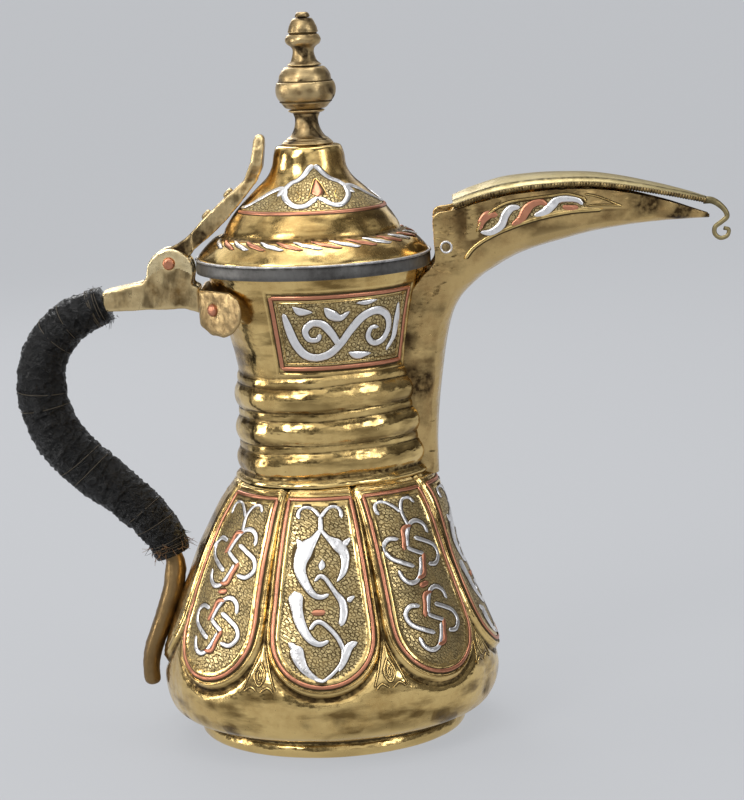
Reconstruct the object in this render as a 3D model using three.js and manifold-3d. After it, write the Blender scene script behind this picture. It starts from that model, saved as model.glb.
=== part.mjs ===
// Dallah: a long-beaked brass coffee pot with inlaid panels.
//
// Millimetres, +Z up. The origin is the middle of the foot, where the pot stands.
// +X points along the spout, -X to the handle, -Y to the front.
import * as THREE from 'three';
import { mergeVertices } from 'three/addons/utils/BufferGeometryUtils.js';
import Module from 'manifold-3d';

const wasm = await Module();
wasm.setup();

// ---------- driving dimensions ----------
const WALL = 1.2; // sheet brass
const GAP = 0.3; // kept between pieces that touch

const FOOT_RADIUS = 52.6;
const FOOT_HEIGHT = 6.6;
const FOOT_BAND = 2.4;
const BULB_TOP = 101.6;
const LOBES = 8;
const LOBE_DEPTH = 3.2;
const NECK_FOOT = BULB_TOP + GAP;
const NECK_RIM = 181.6;
const NECK_WAIST = 143; // height of the narrowest part, above the three rings
const NECK_WAIST_RADIUS = 31;
const RING_HEIGHTS = [109.3, 121.8, 134.6];
const RING_HALF_HEIGHT = 5.4;
const RING_SWELL = 2.2;
const SPOUT_BULGE = 8; // how far the neck is drawn out behind the spout

const LID_RADIUS = 45.4;
const LID_BAND_FOOT = 182;
const LID_BAND_TOP = 186.9;
const LID_CROWN = 229.5;
const SKIRT_RADIUS = 37;
const SKIRT_FOOT = 177.5;

const FINIAL_TOP = 280;
const ROD_RADIUS = 1.9;

const PIN_X = -55.6; // lid hinge
const PIN_Z = 186.2;
const PIN_RADIUS = 1.7;
const EAR_RADIUS = 9.3;
const EAR_WIDTH = 13;
const SLOT_WIDTH = 6.8;
const TONGUE_WIDTH = 6;
const STRAP_WIDTH = 12;

const COVER_PIN_X = 51.7; // spout cover hinge
const COVER_PIN_Z = 189.3;
const COVER_PIN_RADIUS = 1.2;
const CHEEK_HALF_WIDTH = 13.4; // half width of the spout at the cover's hinge
const TIP_X = 153.2;

const PANEL_HALF_ANGLE = THREE.MathUtils.degToRad(18.6);
const PANEL_TOP = 97.5;
const PANEL_ROUND = 52; // below this height the panel's outline rounds off
const PANEL_FOOT = 32;
const WIRE = 0.5; // radius of an inlaid wire

const AROUND_BULB = 48; // facets around
const AROUND_NECK = 32;

// ---------- materials ----------
const brass = { color: 0xb08a3c, roughness: 0.3, metalness: 1 };
const agedBrass = { color: 0x8a6b34, roughness: 0.45, metalness: 1 };
const copper = { color: 0xb4694c, roughness: 0.4, metalness: 1 };
const silver = { color: 0xc9c9c4, roughness: 0.35, metalness: 1 };
const tinnedIron = { color: 0x6b6a66, roughness: 0.5, metalness: 1 };
const wrapBlack = { color: 0x17150f, roughness: 0.5, metalness: 0 };

const dallah = new THREE.Group();

function addPiece(name, shape, look) {
  const geometry = shape.isBufferGeometry ? shape : geometryOf(shape);
  const mesh = new THREE.Mesh(geometry, new THREE.MeshStandardMaterial(look));
  mesh.name = name;
  dallah.add(mesh);
}

// ---------- solids ----------
function point(x, y, z = 0) {
  return new THREE.Vector3(x, y, z);
}

function flat(pairs) {
  return pairs.map(([x, y]) => new THREE.Vector2(x, y));
}

// Smooth outline through a few points, as `steps` stretches.
function smooth(pairs, steps) {
  return new THREE.SplineCurve(flat(pairs)).getPoints(steps);
}

// A solid ready for a boolean, from a closed geometry.
function solidOf(geometry) {
  const bare = geometry.index ? geometry.clone() : geometry;
  bare.deleteAttribute('normal');
  bare.deleteAttribute('uv');
  const welded = mergeVertices(bare, 1e-4);
  const corners = welded.index.array;
  const triangles = [];
  for (let i = 0; i < corners.length; i += 3) {
    const [a, b, c] = corners.subarray(i, i + 3);
    if (a !== b && b !== c && c !== a) triangles.push(a, b, c);
  }
  return new wasm.Manifold(new wasm.Mesh({
    numProp: 3,
    vertProperties: new Float32Array(welded.attributes.position.array),
    triVerts: new Uint32Array(triangles),
  }));
}

function geometryOf(solid) {
  const mesh = solid.getMesh();
  const geometry = new THREE.BufferGeometry();
  geometry.setAttribute('position', new THREE.BufferAttribute(mesh.vertProperties, 3));
  geometry.setIndex(new THREE.BufferAttribute(mesh.triVerts, 1));
  return geometry;
}

function united(...geometries) {
  return geometries.map(solidOf).reduce((whole, next) => whole.add(next));
}

// Solid of revolution about the pot's axis from [radius, height] points, outside going up.
function turned(profile, segments = 32) {
  return new THREE.LatheGeometry(profile, segments).rotateX(Math.PI / 2);
}

// A plate outlined in side view ([x, z] points), `width` thick across Y.
function sidePlate(outline, width, middle = 0) {
  const shape = Array.isArray(outline) ? new THREE.Shape(flat(outline)) : outline;
  const plate = new THREE.ExtrudeGeometry(shape, { depth: width, bevelEnabled: false, curveSegments: 8 });
  return plate.rotateX(Math.PI / 2).translate(0, middle + width / 2, 0);
}

// A round bar along Y.
function crossBar(x, z, radius, length, middle = 0, sides = 16) {
  return new THREE.CylinderGeometry(radius, radius, length, sides).translate(x, middle, z);
}

function turnTo(geometry, place, out) {
  const turn = new THREE.Quaternion().setFromUnitVectors(point(0, 1, 0), out);
  return geometry.applyQuaternion(turn).translate(place.x, place.y, place.z);
}

// A rivet whose domed head sits on a face at `place` and faces along `out`.
function rivet(place, out, { shank, head, height, length }) {
  return turnTo(new THREE.LatheGeometry(flat([
    [0, -length], [shank, -length], [shank, 0], [head, 0], [head * 0.92, height * 0.5],
    [head * 0.5, height * 0.92], [0, height],
  ]), 14), place, out);
}

// The round hole for a rivet's shank, cut with clearance through a solid.
function boredFor(solid, place, out, shank) {
  const bore = new THREE.CylinderGeometry(shank + GAP, shank + GAP, 26, 14);
  return solid.subtract(solidOf(turnTo(bore, place, out)));
}

// Skin over a row of rings with equal counts. A closed skin joins the last ring to the first.
function skin(rings, closed = false) {
  const count = rings[0].length;
  const points = rings.flat();
  const index = [];
  for (let row = 0; row < (closed ? rings.length : rings.length - 1); row++) {
    const next = (row + 1) % rings.length;
    for (let i = 0; i < count; i++) {
      const j = (i + 1) % count;
      index.push(row * count + i, row * count + j, next * count + j);
      index.push(row * count + i, next * count + j, next * count + i);
    }
  }
  if (!closed) {
    const top = (rings.length - 1) * count;
    for (let i = 1; i < count - 1; i++) {
      index.push(0, i + 1, i);
      index.push(top, top + i, top + i + 1);
    }
  }
  const geometry = new THREE.BufferGeometry().setFromPoints(points);
  geometry.setIndex(index);
  return geometry;
}

// A bar along a side-view path. `section(t)` gives [half height, half width] of its round section.
function bar(path, steps, sides, section) {
  const curve = new THREE.SplineCurve(flat(path));
  const rings = [];
  for (let step = 0; step <= steps; step++) {
    const t = step / steps;
    const middle = curve.getPoint(t);
    const along = curve.getTangent(t);
    const [half, halfWidth] = section(t);
    const ring = [];
    for (let side = 0; side < sides; side++) {
      const turn = (side + 0.5) / sides * Math.PI * 2;
      const out = Math.sin(turn) * half;
      ring.push(point(middle.x - along.y * out, Math.cos(turn) * halfWidth, middle.y + along.x * out));
    }
    rings.push(ring);
  }
  return rings;
}

// A thin wire along a 3-D path; a closed path gives a loop.
function wire(path, radius, { sides = 4, closed = false, steps = path.length } = {}) {
  const curve = new THREE.CatmullRomCurve3(path, closed);
  const circle = new THREE.Shape();
  circle.absarc(0, 0, radius, 0, Math.PI * 2);
  const section = new THREE.Shape(circle.getPoints(sides).slice(0, sides));
  return new THREE.ExtrudeGeometry(section, { extrudePath: curve, steps, bevelEnabled: false });
}

// ---------- body of the vessel ----------
const bulbProfile = smooth([
  [53.6, FOOT_HEIGHT + GAP], [62.8, 11.2], [67.3, 22], [65.6, 35], [58.6, 54], [50.4, 74], [41.5, 90.5],
  [35.2, 99.4], [33.4, BULB_TOP],
], 14);

// How far the vessel is drawn out towards the spout at a height.
function bulgeAt(z) {
  const rise = THREE.MathUtils.smoothstep(z, 64, 101);
  const fall = THREE.MathUtils.smoothstep(z, 118, NECK_RIM);
  return SPOUT_BULGE * rise * (1 - 0.66 * fall);
}

function bulge(angle, z) {
  return bulgeAt(z) * Math.max(0, Math.cos(angle)) ** 4;
}

// Valleys between the lobes, deepest at the belly, gone at the foot and at the waist.
function valley(angle, z) {
  const lobe = Math.PI * 2 / LOBES;
  const off = Math.abs(angle / lobe - Math.round(angle / lobe)) * 2;
  const rise = THREE.MathUtils.smoothstep(z, FOOT_HEIGHT, 26);
  const fall = THREE.MathUtils.smoothstep(z, 60, BULB_TOP);
  return LOBE_DEPTH * off ** 2.2 * rise * (1 - 0.85 * fall);
}

function ringAround(z, radius, count) {
  const ring = [];
  for (let i = 0; i < count; i++) {
    const angle = i / count * Math.PI * 2;
    const r = radius(angle);
    ring.push(point(Math.cos(angle) * r, Math.sin(angle) * r, z));
  }
  return ring;
}

function bulbSolid(grow, count) {
  return skin(bulbProfile.map(({ x, y }) => ringAround(
    y, (angle) => x + grow + bulge(angle, y) - valley(angle, y), count,
  )));
}

function bulbRadius(angle, z) {
  const above = bulbProfile.findIndex((p) => p.y > z);
  const [low, high] = [bulbProfile[above - 1], bulbProfile[above]];
  const share = (z - low.y) / (high.y - low.y);
  return THREE.MathUtils.lerp(low.x, high.x, share) + bulge(angle, z) - valley(angle, z);
}

// The hollow inside the bulb, one wall in from the valleys.
const bulbHollow = skin([
  [50, FOOT_HEIGHT + GAP + WALL], [60.5, 14], [62.5, 22], [61, 35], [54.3, 54], [46.4, 74], [38.4, 90],
  [33, 98], [32, BULB_TOP + 1],
].map(([r, z]) => ringAround(z, (angle) => r + bulge(angle, z), 24)));
addPiece('body_bulb', solidOf(bulbSolid(0, AROUND_BULB)).subtract(solidOf(bulbHollow)), brass);

addPiece('foot_ring', turned(flat([
  [FOOT_RADIUS - FOOT_BAND, 0], [FOOT_RADIUS - 0.6, 0], [FOOT_RADIUS + 0.2, 1],
  [FOOT_RADIUS + 0.4, 4], [FOOT_RADIUS + 1.7, FOOT_HEIGHT], [FOOT_RADIUS - FOOT_BAND, FOOT_HEIGHT],
  [FOOT_RADIUS - FOOT_BAND, 0],
])), brass);
addPiece('base_disc', new THREE.CylinderGeometry(
  FOOT_RADIUS - FOOT_BAND - GAP, FOOT_RADIUS - FOOT_BAND - GAP, WALL, 32,
).rotateX(Math.PI / 2).translate(0, 0, WALL / 2), agedBrass);

// ---------- neck ----------
function neckProfile(z) {
  const flare = 0.1078 * Math.max(0, z - NECK_WAIST) ** 1.245;
  const foot = 2.2 * (1 - THREE.MathUtils.smoothstep(z, NECK_FOOT, NECK_FOOT + 3));
  const swell = RING_HEIGHTS.map((middle) => Math.max(0, 1 - Math.abs(z - middle) / RING_HALF_HEIGHT))
    .reduce((sum, share) => sum + RING_SWELL * Math.sin(share * Math.PI / 2), 0);
  return NECK_WAIST_RADIUS + flare + foot + swell;
}

const neckHeights = [NECK_FOOT, 103.6, 106.4, 109.3, 112.4, 115.4, 118.6, 121.8, 125, 128.2, 131.4, 134.6,
  137.8, 140.6, 148, 156, 165, 174, NECK_RIM];

function neckSolid(grow, count) {
  return skin(neckHeights.map((z) => ringAround(z, (angle) => neckProfile(z) + grow + bulge(angle, z), count)));
}

const neckHollow = skin([NECK_FOOT - 1, 141, 150, 160, 171, NECK_RIM + 1].map((z) => {
  const r = NECK_WAIST_RADIUS - WALL + 0.1078 * Math.max(0, z - NECK_WAIST) ** 1.245;
  return ringAround(z, (angle) => r + bulge(angle, z), 24);
}));
// The way from the vessel into the spout: a tall window with a round head.
const pourWindow = new THREE.Shape();
pourWindow.moveTo(-5, 112);
pourWindow.lineTo(5, 112);
pourWindow.lineTo(8.5, 165);
pourWindow.absarc(0, 165, 8.5, 0, Math.PI);
const pourCut = new THREE.ExtrudeGeometry(pourWindow, { depth: 40, bevelEnabled: false, curveSegments: 6 })
  .rotateX(Math.PI / 2).rotateZ(Math.PI / 2).translate(20, 0, 0);
const neckShell = solidOf(neckSolid(0, AROUND_NECK)).subtract(solidOf(neckHollow)).subtract(solidOf(pourCut));

// ---------- spout ----------
// Stations along the spout: keel [x, z], open edge [x, z], half width at the edge.
const SPOUT_STATIONS = [
  [[45.6, 99.5], [34, 99.5], 6],
  [[45.8, 114], [32, 114], 8.5],
  [[46.9, 127], [30, 127], 10.5],
  [[48.4, 138], [29, 140], 12],
  [[50.6, 151.4], [31, 156], 12.8],
  [[53.2, 161.5], [36, 170], 13.2],
  [[56.5, 168], [42.4, 178.5], CHEEK_HALF_WIDTH],
  [[60.8, 172.6], [46.9, 183.5], CHEEK_HALF_WIDTH],
  [[66, 176.8], [47, 193], CHEEK_HALF_WIDTH],
  [[70, 179.2], [47.4, 201.4], CHEEK_HALF_WIDTH],
  [[74.5, 181.8], [54, 203.2], CHEEK_HALF_WIDTH],
  [[80, 184.4], [64, 205.6], 12.8],
  [[87, 186.7], [76, 208], 11.9],
  [[96, 189], [91, 209.2], 10.6],
  [[108.6, 191.8], [107, 209], 9.1],
  [[122, 193.7], [121.5, 206.8], 7.5],
  [[136.4, 194.8], [136.5, 202.8], 5.7],
  [[146, 195.1], [146.5, 199.3], 4.3],
  [[TIP_X, 195.3], [TIP_X, 196.9], 3.3],
];

// One U-shaped ring: outside from edge to keel to edge, then back along the inside.
function spoutRing([keel, edge, halfWidth]) {
  const rise = point(edge[0] - keel[0], 0, edge[1] - keel[1]);
  const depth = rise.length();
  const wallHere = Math.min(WALL, depth * 0.4);
  const side = (share, inset) => {
    const up = inset + (depth - inset) * share;
    const wide = (halfWidth - inset) * Math.sqrt(1 - (1 - Math.min(1, share / 0.55)) ** 2);
    return point(keel[0], wide, keel[1]).addScaledVector(rise, up / depth);
  };
  const shares = [1, 0.55, 0.28, 0.08, 0];
  const half = (inset) => shares.map((share) => side(share, inset));
  const mirror = (points) => points.slice(0, -1).reverse().map((p) => point(p.x, -p.y, p.z));
  const outer = [...half(0), ...mirror(half(0))];
  const inner = [...half(wallHere), ...mirror(half(wallHere))].reverse();
  return [...outer, ...inner].reverse();
}

// Skin over U-shaped rings; each end is closed by a strip from outside to inside.
function channel(rings) {
  const geometry = skin(rings);
  const count = rings[0].length;
  const index = [...geometry.index.array].slice(0, (rings.length - 1) * count * 6);
  const last = (rings.length - 1) * count;
  for (let i = 0; i < count / 2 - 1; i++) {
    const across = [i, i + 1, count - 2 - i, count - 1 - i];
    const [a, b, c, d] = across;
    index.push(a, c, b, a, d, c);
    const [e, f, g, h] = across.map((corner) => corner + last);
    index.push(e, f, g, e, g, h);
  }
  geometry.setIndex(index);
  return geometry;
}

const coverPinHole = crossBar(COVER_PIN_X, COVER_PIN_Z, COVER_PIN_RADIUS + GAP, 40);
addPiece('spout_shell', solidOf(channel(SPOUT_STATIONS.map(spoutRing)))
  .subtract(solidOf(neckSolid(GAP + 0.1, AROUND_NECK)))
  .subtract(solidOf(bulbSolid(GAP + 0.1, AROUND_BULB)))
  .subtract(solidOf(coverPinHole)), brass);

// ---------- spout cover ----------
// Side-view line of the cover's edge, its half width, and the height of its crown above that line.
const COVER_STATIONS = [
  [55, 204, 13.6, 2.2], [64, 206.6, 13.2, 3.2], [76, 209.1, 12.3, 3.6], [91, 210.3, 11, 3.4],
  [107, 210.2, 9.5, 3], [121.5, 208.2, 7.9, 2.6], [136.5, 205.2, 5.8, 1.8], [146.5, 202.8, 3.6, 1.1],
  [152, 201.4, 1.9, 0.6],
];

const coverRings = COVER_STATIONS.map(([x, z, halfWidth, crown]) => {
  const across = [-1, -0.6, 0, 0.6, 1];
  const top = across.map((y) => point(x, y * halfWidth, z + WALL + crown * (1 - y * y)));
  const under = across.map((y) => point(x, y * halfWidth, z + crown * (1 - y * y))).reverse();
  return [...under, ...top];
});
addPiece('cover_plate', skin(coverRings.map((ring) => [...ring].reverse())), brass);

function coverBead(side) {
  const beadPath = COVER_STATIONS.slice(0, -1).map(([x, z, halfWidth]) => (
    point(x, side * (halfWidth + 1.35), z + WALL / 2)));
  return wire(beadPath, 1, { sides: 6 });
}
addPiece('cover_bead_front', coverBead(-1), brass);
addPiece('cover_bead_rear', coverBead(1), brass);

// Arms that carry the cover down to its hinge pin, inside the spout's cheeks.
const COVER_ARM_WIDTH = 1.2;
const coverArmMiddle = CHEEK_HALF_WIDTH - WALL - 0.5 - COVER_ARM_WIDTH / 2;
function coverArm(side) {
  const outline = [
    [COVER_PIN_X + 3.6, COVER_PIN_Z - 1.5], [COVER_PIN_X + 7, COVER_PIN_Z + 4], [63, 203.6], [62.4, 205.4],
    [56, 203.4], [COVER_PIN_X - 1, COVER_PIN_Z + 8], [COVER_PIN_X - 3.2, COVER_PIN_Z + 2],
    [COVER_PIN_X - 3.2, COVER_PIN_Z - 2], [COVER_PIN_X, COVER_PIN_Z - 4],
  ];
  return solidOf(sidePlate(outline, COVER_ARM_WIDTH, side * coverArmMiddle))
    .subtract(solidOf(crossBar(COVER_PIN_X, COVER_PIN_Z, COVER_PIN_RADIUS + GAP, 40)));
}
addPiece('cover_arm_front', coverArm(-1), agedBrass);
addPiece('cover_arm_rear', coverArm(1), agedBrass);

const coverPinHead = CHEEK_HALF_WIDTH + GAP;
addPiece('cover_pin', united(
  crossBar(COVER_PIN_X, COVER_PIN_Z, COVER_PIN_RADIUS, 2 * coverPinHead),
  ...[-1, 1].map((side) => rivet(point(COVER_PIN_X, side * coverPinHead, COVER_PIN_Z), point(0, side, 0), {
    shank: COVER_PIN_RADIUS * 0.8, head: 2.6, height: 1, length: 2 })),
), brass);

// Finger hook at the cover's tip: an S that hangs in front of the spout's lip and ends in an eye.
addPiece('cover_hook', wire([
  point(152.6, 0, 202), point(156.6, 0, 200.6), point(159.8, 0, 197.6), point(160.2, 0, 195.2),
  point(157.9, 0, 193.2), point(155.6, 0, 191.4), point(155.5, 0, 188.8), point(157.6, 0, 187.1),
  point(160.2, 0, 187.9), point(160.8, 0, 190.2), point(158.9, 0, 190.9),
], 0.9, { sides: 5, steps: 20 }), brass);

// ---------- lid ----------
const lidOutline = [
  [LID_RADIUS - 0.3, LID_BAND_TOP + GAP], [44.1, 189], [41, 192.4], [37.6, 195.1], [34.7, 196], [33.2, 199],
  [28.9, 205.3], [21.1, 212.8], [16.6, 217.2], [14.4, 221.4], [13.6, 226], [12.6, 228.8], [11.4, LID_CROWN],
];
const lidInside = [
  [LID_RADIUS - 1.8, LID_BAND_TOP], [40, 191.6], [33, 194.8], [27.6, 204.4], [19.9, 211.8], [13.4, 220.4],
  [12.2, LID_CROWN - WALL],
];
const lidShell = united(turned(flat([[0, LID_BAND_TOP + GAP], ...lidOutline, [0, LID_CROWN]])))
  .subtract(solidOf(turned(flat([[0, LID_BAND_TOP], ...lidInside, [0, LID_CROWN - WALL]]), 24)));
const rodBore = new THREE.CylinderGeometry(ROD_RADIUS + GAP, ROD_RADIUS + GAP, 80, 16)
  .rotateX(Math.PI / 2).translate(0, 0, LID_CROWN + 20);

addPiece('lid_rim_band', turned(flat([
  [LID_RADIUS - 3, LID_BAND_FOOT], [LID_RADIUS - 0.3, LID_BAND_FOOT], [LID_RADIUS, LID_BAND_FOOT + 0.6],
  [LID_RADIUS, LID_BAND_TOP], [LID_RADIUS - 3, LID_BAND_TOP], [LID_RADIUS - 3, LID_BAND_FOOT],
])), tinnedIron);
addPiece('lid_skirt', turned(flat([
  [SKIRT_RADIUS - WALL, SKIRT_FOOT], [SKIRT_RADIUS, SKIRT_FOOT], [SKIRT_RADIUS, LID_BAND_FOOT + 0.7],
  [LID_RADIUS - 3.3, LID_BAND_FOOT + 0.7], [LID_RADIUS - 3.3, LID_BAND_FOOT + 1.9],
  [SKIRT_RADIUS - WALL, LID_BAND_FOOT + 1.9], [SKIRT_RADIUS - WALL, SKIRT_FOOT],
]), 24), agedBrass);

// ---------- lid lever: tongue, strap along the lid's back, thumb leaf ----------
const strapOutline = [
  [-46.4, 190.6], [-45.4, 191.3], [-38.4, 196.7], [-32.2, 202.4], [-27.8, 207.3], [-20.4, 216.2], [-18, 221],
  [-16.5, 231.6], [-17, 233.6], [-18.5, 234.4], [-20, 233.9], [-20.8, 232], [-22, 224.4], [-25.2, 216.8],
  [-34.2, 209.4], [-42.4, 202], [-46.4, 197.6],
];
const tongueOutline = [
  [PIN_X + 2.6, PIN_Z - 4.7], [PIN_X + 5, PIN_Z - 2], [-45.6, 191.3], [-43.4, 196.4], [-44.9, 199.2],
  [-49.4, 195], [-54.5, 192.2], [-58.3, 190.9], [PIN_X - 5, PIN_Z + 1.8], [PIN_X - 5, PIN_Z - 2],
  [PIN_X - 2.6, PIN_Z - 4.7],
];
const pinBore = crossBar(PIN_X, PIN_Z, PIN_RADIUS + GAP, 40);
// The thumb end narrows to a leaf, seen from behind.
const strapPlan = new THREE.Shape(flat([
  [-STRAP_WIDTH / 2, 180], [STRAP_WIDTH / 2, 180], [STRAP_WIDTH / 2, 212], [4.4, 217], [6.6, 223],
  [5.4, 229.5], [2.6, 233.6], [0, 235], [-2.6, 233.6], [-5.4, 229.5], [-6.6, 223], [-4.4, 217],
  [-STRAP_WIDTH / 2, 212],
]));
const strapTrim = new THREE.ExtrudeGeometry(strapPlan, { depth: 60, bevelEnabled: false })
  .rotateX(Math.PI / 2).rotateZ(Math.PI / 2).translate(-60, 0, 0);
// Two rivets run square to the strap's slope, through the strap and the lid's wall.
const LEVER_RIVET = { shank: 1.3, head: 2.5, height: 1.3, length: 13 };
const rivetOut = point(-0.7, 0, 0.714).normalize();
const leverRivets = { upper: point(-31.5, 0, 211.8), lower: point(-40.3, 0, 203.8) };
function riveted(solid) {
  return Object.values(leverRivets).reduce(
    (rest, place) => boredFor(rest, place, rivetOut, LEVER_RIVET.shank), solid);
}
addPiece('lid_lever', riveted(united(sidePlate(strapOutline, STRAP_WIDTH + 4)).intersect(solidOf(strapTrim))
  .add(solidOf(sidePlate(tongueOutline, TONGUE_WIDTH))).subtract(solidOf(pinBore))), agedBrass);
addPiece('lid_dome', riveted(lidShell).subtract(solidOf(rodBore)), brass);
for (const [name, place] of Object.entries(leverRivets)) {
  const onFace = place.clone().addScaledVector(rivetOut, GAP);
  addPiece(`lever_rivet_${name}`, rivet(onFace, rivetOut, LEVER_RIVET), copper);
}

// ---------- finial: turned pieces stacked on a riveted rod ----------
function finialPiece(name, profile) {
  const bored = solidOf(turned(profile, 18)).subtract(solidOf(rodBore));
  addPiece(name, bored, brass);
}
finialPiece('finial_base', flat([
  [0, LID_CROWN + GAP], [9.3, LID_CROWN + GAP], [9.2, 231], [6.6, 233], [4.7, 236.4], [4.3, 239.4],
  [5.3, 241.6], [6.7, 242.3], [6.7, 243.1], [0, 243.1],
]));
finialPiece('finial_ball', flat([
  [0, 243.4], [6.9, 243.4], [9.1, 245.4], [10.2, 246.6], [11.2, 248.6], [11.6, 251.2], [11.1, 253.4],
  [10.3, 254.4], [9.9, 256.4], [8.3, 258.8], [6.6, 259.4], [0, 259.4],
]));
finialPiece('finial_spool', flat([
  [0, 259.7], [6.4, 259.7], [5.1, 261.6], [4.1, 264.6], [4.3, 266.6], [6.2, 268.2], [6.8, 269.6],
  [6.2, 271.2], [5, 271.8], [0, 271.8],
]));
finialPiece('finial_acorn', flat([
  [0, 272.1], [5.4, 272.1], [5.6, 273.4], [4.6, 276], [3.4, 277.8], [0, 277.8],
]));
addPiece('finial_rod', turned(flat([
  [0, 223.4], [ROD_RADIUS, 223.4], [ROD_RADIUS, 278.1], [2.5, 278.1], [2.4, 279.2], [1.3, FINIAL_TOP],
  [0, FINIAL_TOP],
]), 16), copper);
addPiece('finial_washer', turned(flat([
  [ROD_RADIUS + GAP, LID_CROWN - WALL - 1.5], [6, LID_CROWN - WALL - 1.5], [6, LID_CROWN - WALL - GAP],
  [ROD_RADIUS + GAP, LID_CROWN - WALL - GAP], [ROD_RADIUS + GAP, LID_CROWN - WALL - 1.5],
]), 20), agedBrass);

// ---------- handle ----------
const ARM_FOOT = 168.4;
const armOutline = new THREE.Shape();
armOutline.moveTo(-44.4, ARM_FOOT - 2);
armOutline.lineTo(-44.4, 176.6);
armOutline.lineTo(-47.4, 178.2);
armOutline.absarc(PIN_X + 0.3, PIN_Z - 3.7, EAR_RADIUS, -0.42, Math.PI + 0.1);
armOutline.lineTo(-66.4, 179);
armOutline.lineTo(-82, 176);
armOutline.lineTo(-82, ARM_FOOT);
armOutline.lineTo(-51, ARM_FOOT);
const earSlot = sidePlate([[-75, 178.6], [-46.8, 176.4], [-40, 176.4], [-40, 200], [-75, 200]], SLOT_WIDTH);
const corePath = [[-79.6, 172], [-88.5, 168.2], [-97.5, 163.5], [-104.5, 155.5], [-108.5, 145.5],
  [-108.5, 134], [-104.5, 121.5], [-97.5, 111.5], [-88.5, 103], [-78, 94], [-69.5, 85.5], [-63.5, 77],
  [-60.4, 69], [-60.1, 63]];
const CORE_RADIUS = 3.4;
const CORE_SHAPE = [corePath, 18, 8]; // path, stretches, sides
const core = skin(bar(...CORE_SHAPE, () => [CORE_RADIUS, CORE_RADIUS]));
// The tail: a flat leaf that runs down the bulb's back and curls away at its end.
const tailPath = [[-60.3, 65], [-61.6, 56], [-66, 44], [-70.2, 34], [-72.1, 26], [-71.9, 18.6]];
const tail = skin(bar(tailPath, 10, 8, (t) => [
  3.4 - 1.3 * t, 3.4 + 2.2 * Math.sin(Math.PI * Math.min(1, t * 1.1))]));
const bulbClear = solidOf(bulbSolid(GAP, AROUND_BULB));
addPiece('handle_frame', united(sidePlate(armOutline, EAR_WIDTH), core, tail)
  .subtract(solidOf(earSlot)).subtract(solidOf(pinBore)).subtract(bulbClear), agedBrass);

// Leather and cord wound on the grip.
const wrapPath = [...corePath.slice(0, -2), [-60.7, 70.5]];
const wrapRadius = (t) => 5.6 + 4.3 * Math.sin(Math.PI * Math.min(1, Math.max(0, t * 0.86 + 0.07))) ** 0.7;
const wrapOuter = bar(wrapPath, 18, 10, (t) => [wrapRadius(t), wrapRadius(t)]);
const wrapBore = skin(bar(...CORE_SHAPE, () => [CORE_RADIUS + GAP, CORE_RADIUS + GAP]));
const ARM_END = -82;
const armRoom = sidePlate([[ARM_END - GAP, 155], [-70, 155], [-70, 190], [ARM_END - GAP, 190]], 40);
addPiece('handle_wrap', [wrapBore, armRoom].reduce(
  (rest, room) => rest.subtract(solidOf(room)), solidOf(skin(wrapOuter))).subtract(bulbClear), wrapBlack);

// Yoke: a plate behind the neck whose two leaf-shaped lugs turn forward at 45 degrees.
const LUG_OUT = 42.1; // distance from the pot's axis to the lugs' outer faces
const LUG_THICK = 2.2;
const YOKE_BACK = -44.1;
const LUG_REACH = 34;
function yokeEdge(out, back, reach) {
  const bend = back + out * Math.SQRT2;
  const end = reach - out * Math.SQRT2;
  return [[end, reach], [back, bend], [back, -bend], [end, -reach]];
}
const lugStep = LUG_THICK * Math.SQRT1_2;
const yokePlan = new THREE.Shape(flat([
  ...yokeEdge(LUG_OUT, YOKE_BACK, LUG_REACH),
  ...yokeEdge(LUG_OUT - LUG_THICK, YOKE_BACK + LUG_THICK, LUG_REACH - lugStep).reverse(),
]));
const yokeBand = new THREE.ExtrudeGeometry(yokePlan, { depth: 24, bevelEnabled: false }).translate(0, 0, 156);
const leafOutline = [
  [-46, 176.4], [-38, 177.3], [-31, 177], [-27.4, 174.4], [-26.2, 170], [-27, 165], [-30, 160.8],
  [-34, 158.8], [-38.5, 159], [-41.6, 161], [-46, 164.2],
];
const LUG_RIVET = { shank: 1.5, head: 2.9, height: 1.4, length: 9.4 };
const lugRivets = { front: -1, rear: 1 };
function lugPlace(side, lift = 0) {
  const x = -38.3;
  const out = point(-Math.SQRT1_2, side * Math.SQRT1_2);
  return [point(x, side * (x + LUG_OUT * Math.SQRT2), 169.4).addScaledVector(out, lift), out];
}
function lugBored(solid) {
  return Object.values(lugRivets).reduce((rest, side) => boredFor(rest, ...lugPlace(side), LUG_RIVET.shank), solid);
}
addPiece('handle_yoke', lugBored(solidOf(yokeBand).intersect(solidOf(sidePlate(leafOutline, 90)))), agedBrass);
addPiece('body_neck', lugBored(neckShell), brass);
for (const [name, side] of Object.entries(lugRivets)) {
  addPiece(`yoke_rivet_${name}`, rivet(...lugPlace(side, GAP), LUG_RIVET), copper);
}

// Copper pin that the lid turns on, riveted over at both ends.
const pinHead = EAR_WIDTH / 2 + GAP;
addPiece('hinge_pin', united(
  crossBar(PIN_X, PIN_Z, PIN_RADIUS, 2 * pinHead),
  ...[-1, 1].map((side) => rivet(point(PIN_X, side * pinHead, PIN_Z), point(0, side, 0), {
    shank: PIN_RADIUS * 0.8, head: 2.4, height: 1, length: 2 })),
), copper);

// ---------- inlay: copper outlines and silver figures, standing just proud of the brass ----------
const LIFT = WIRE + GAP + 0.1;

function onBulb(angle, z) {
  const r = bulbRadius(angle, z) + LIFT;
  return point(Math.cos(angle) * r, Math.sin(angle) * r, z);
}

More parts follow.
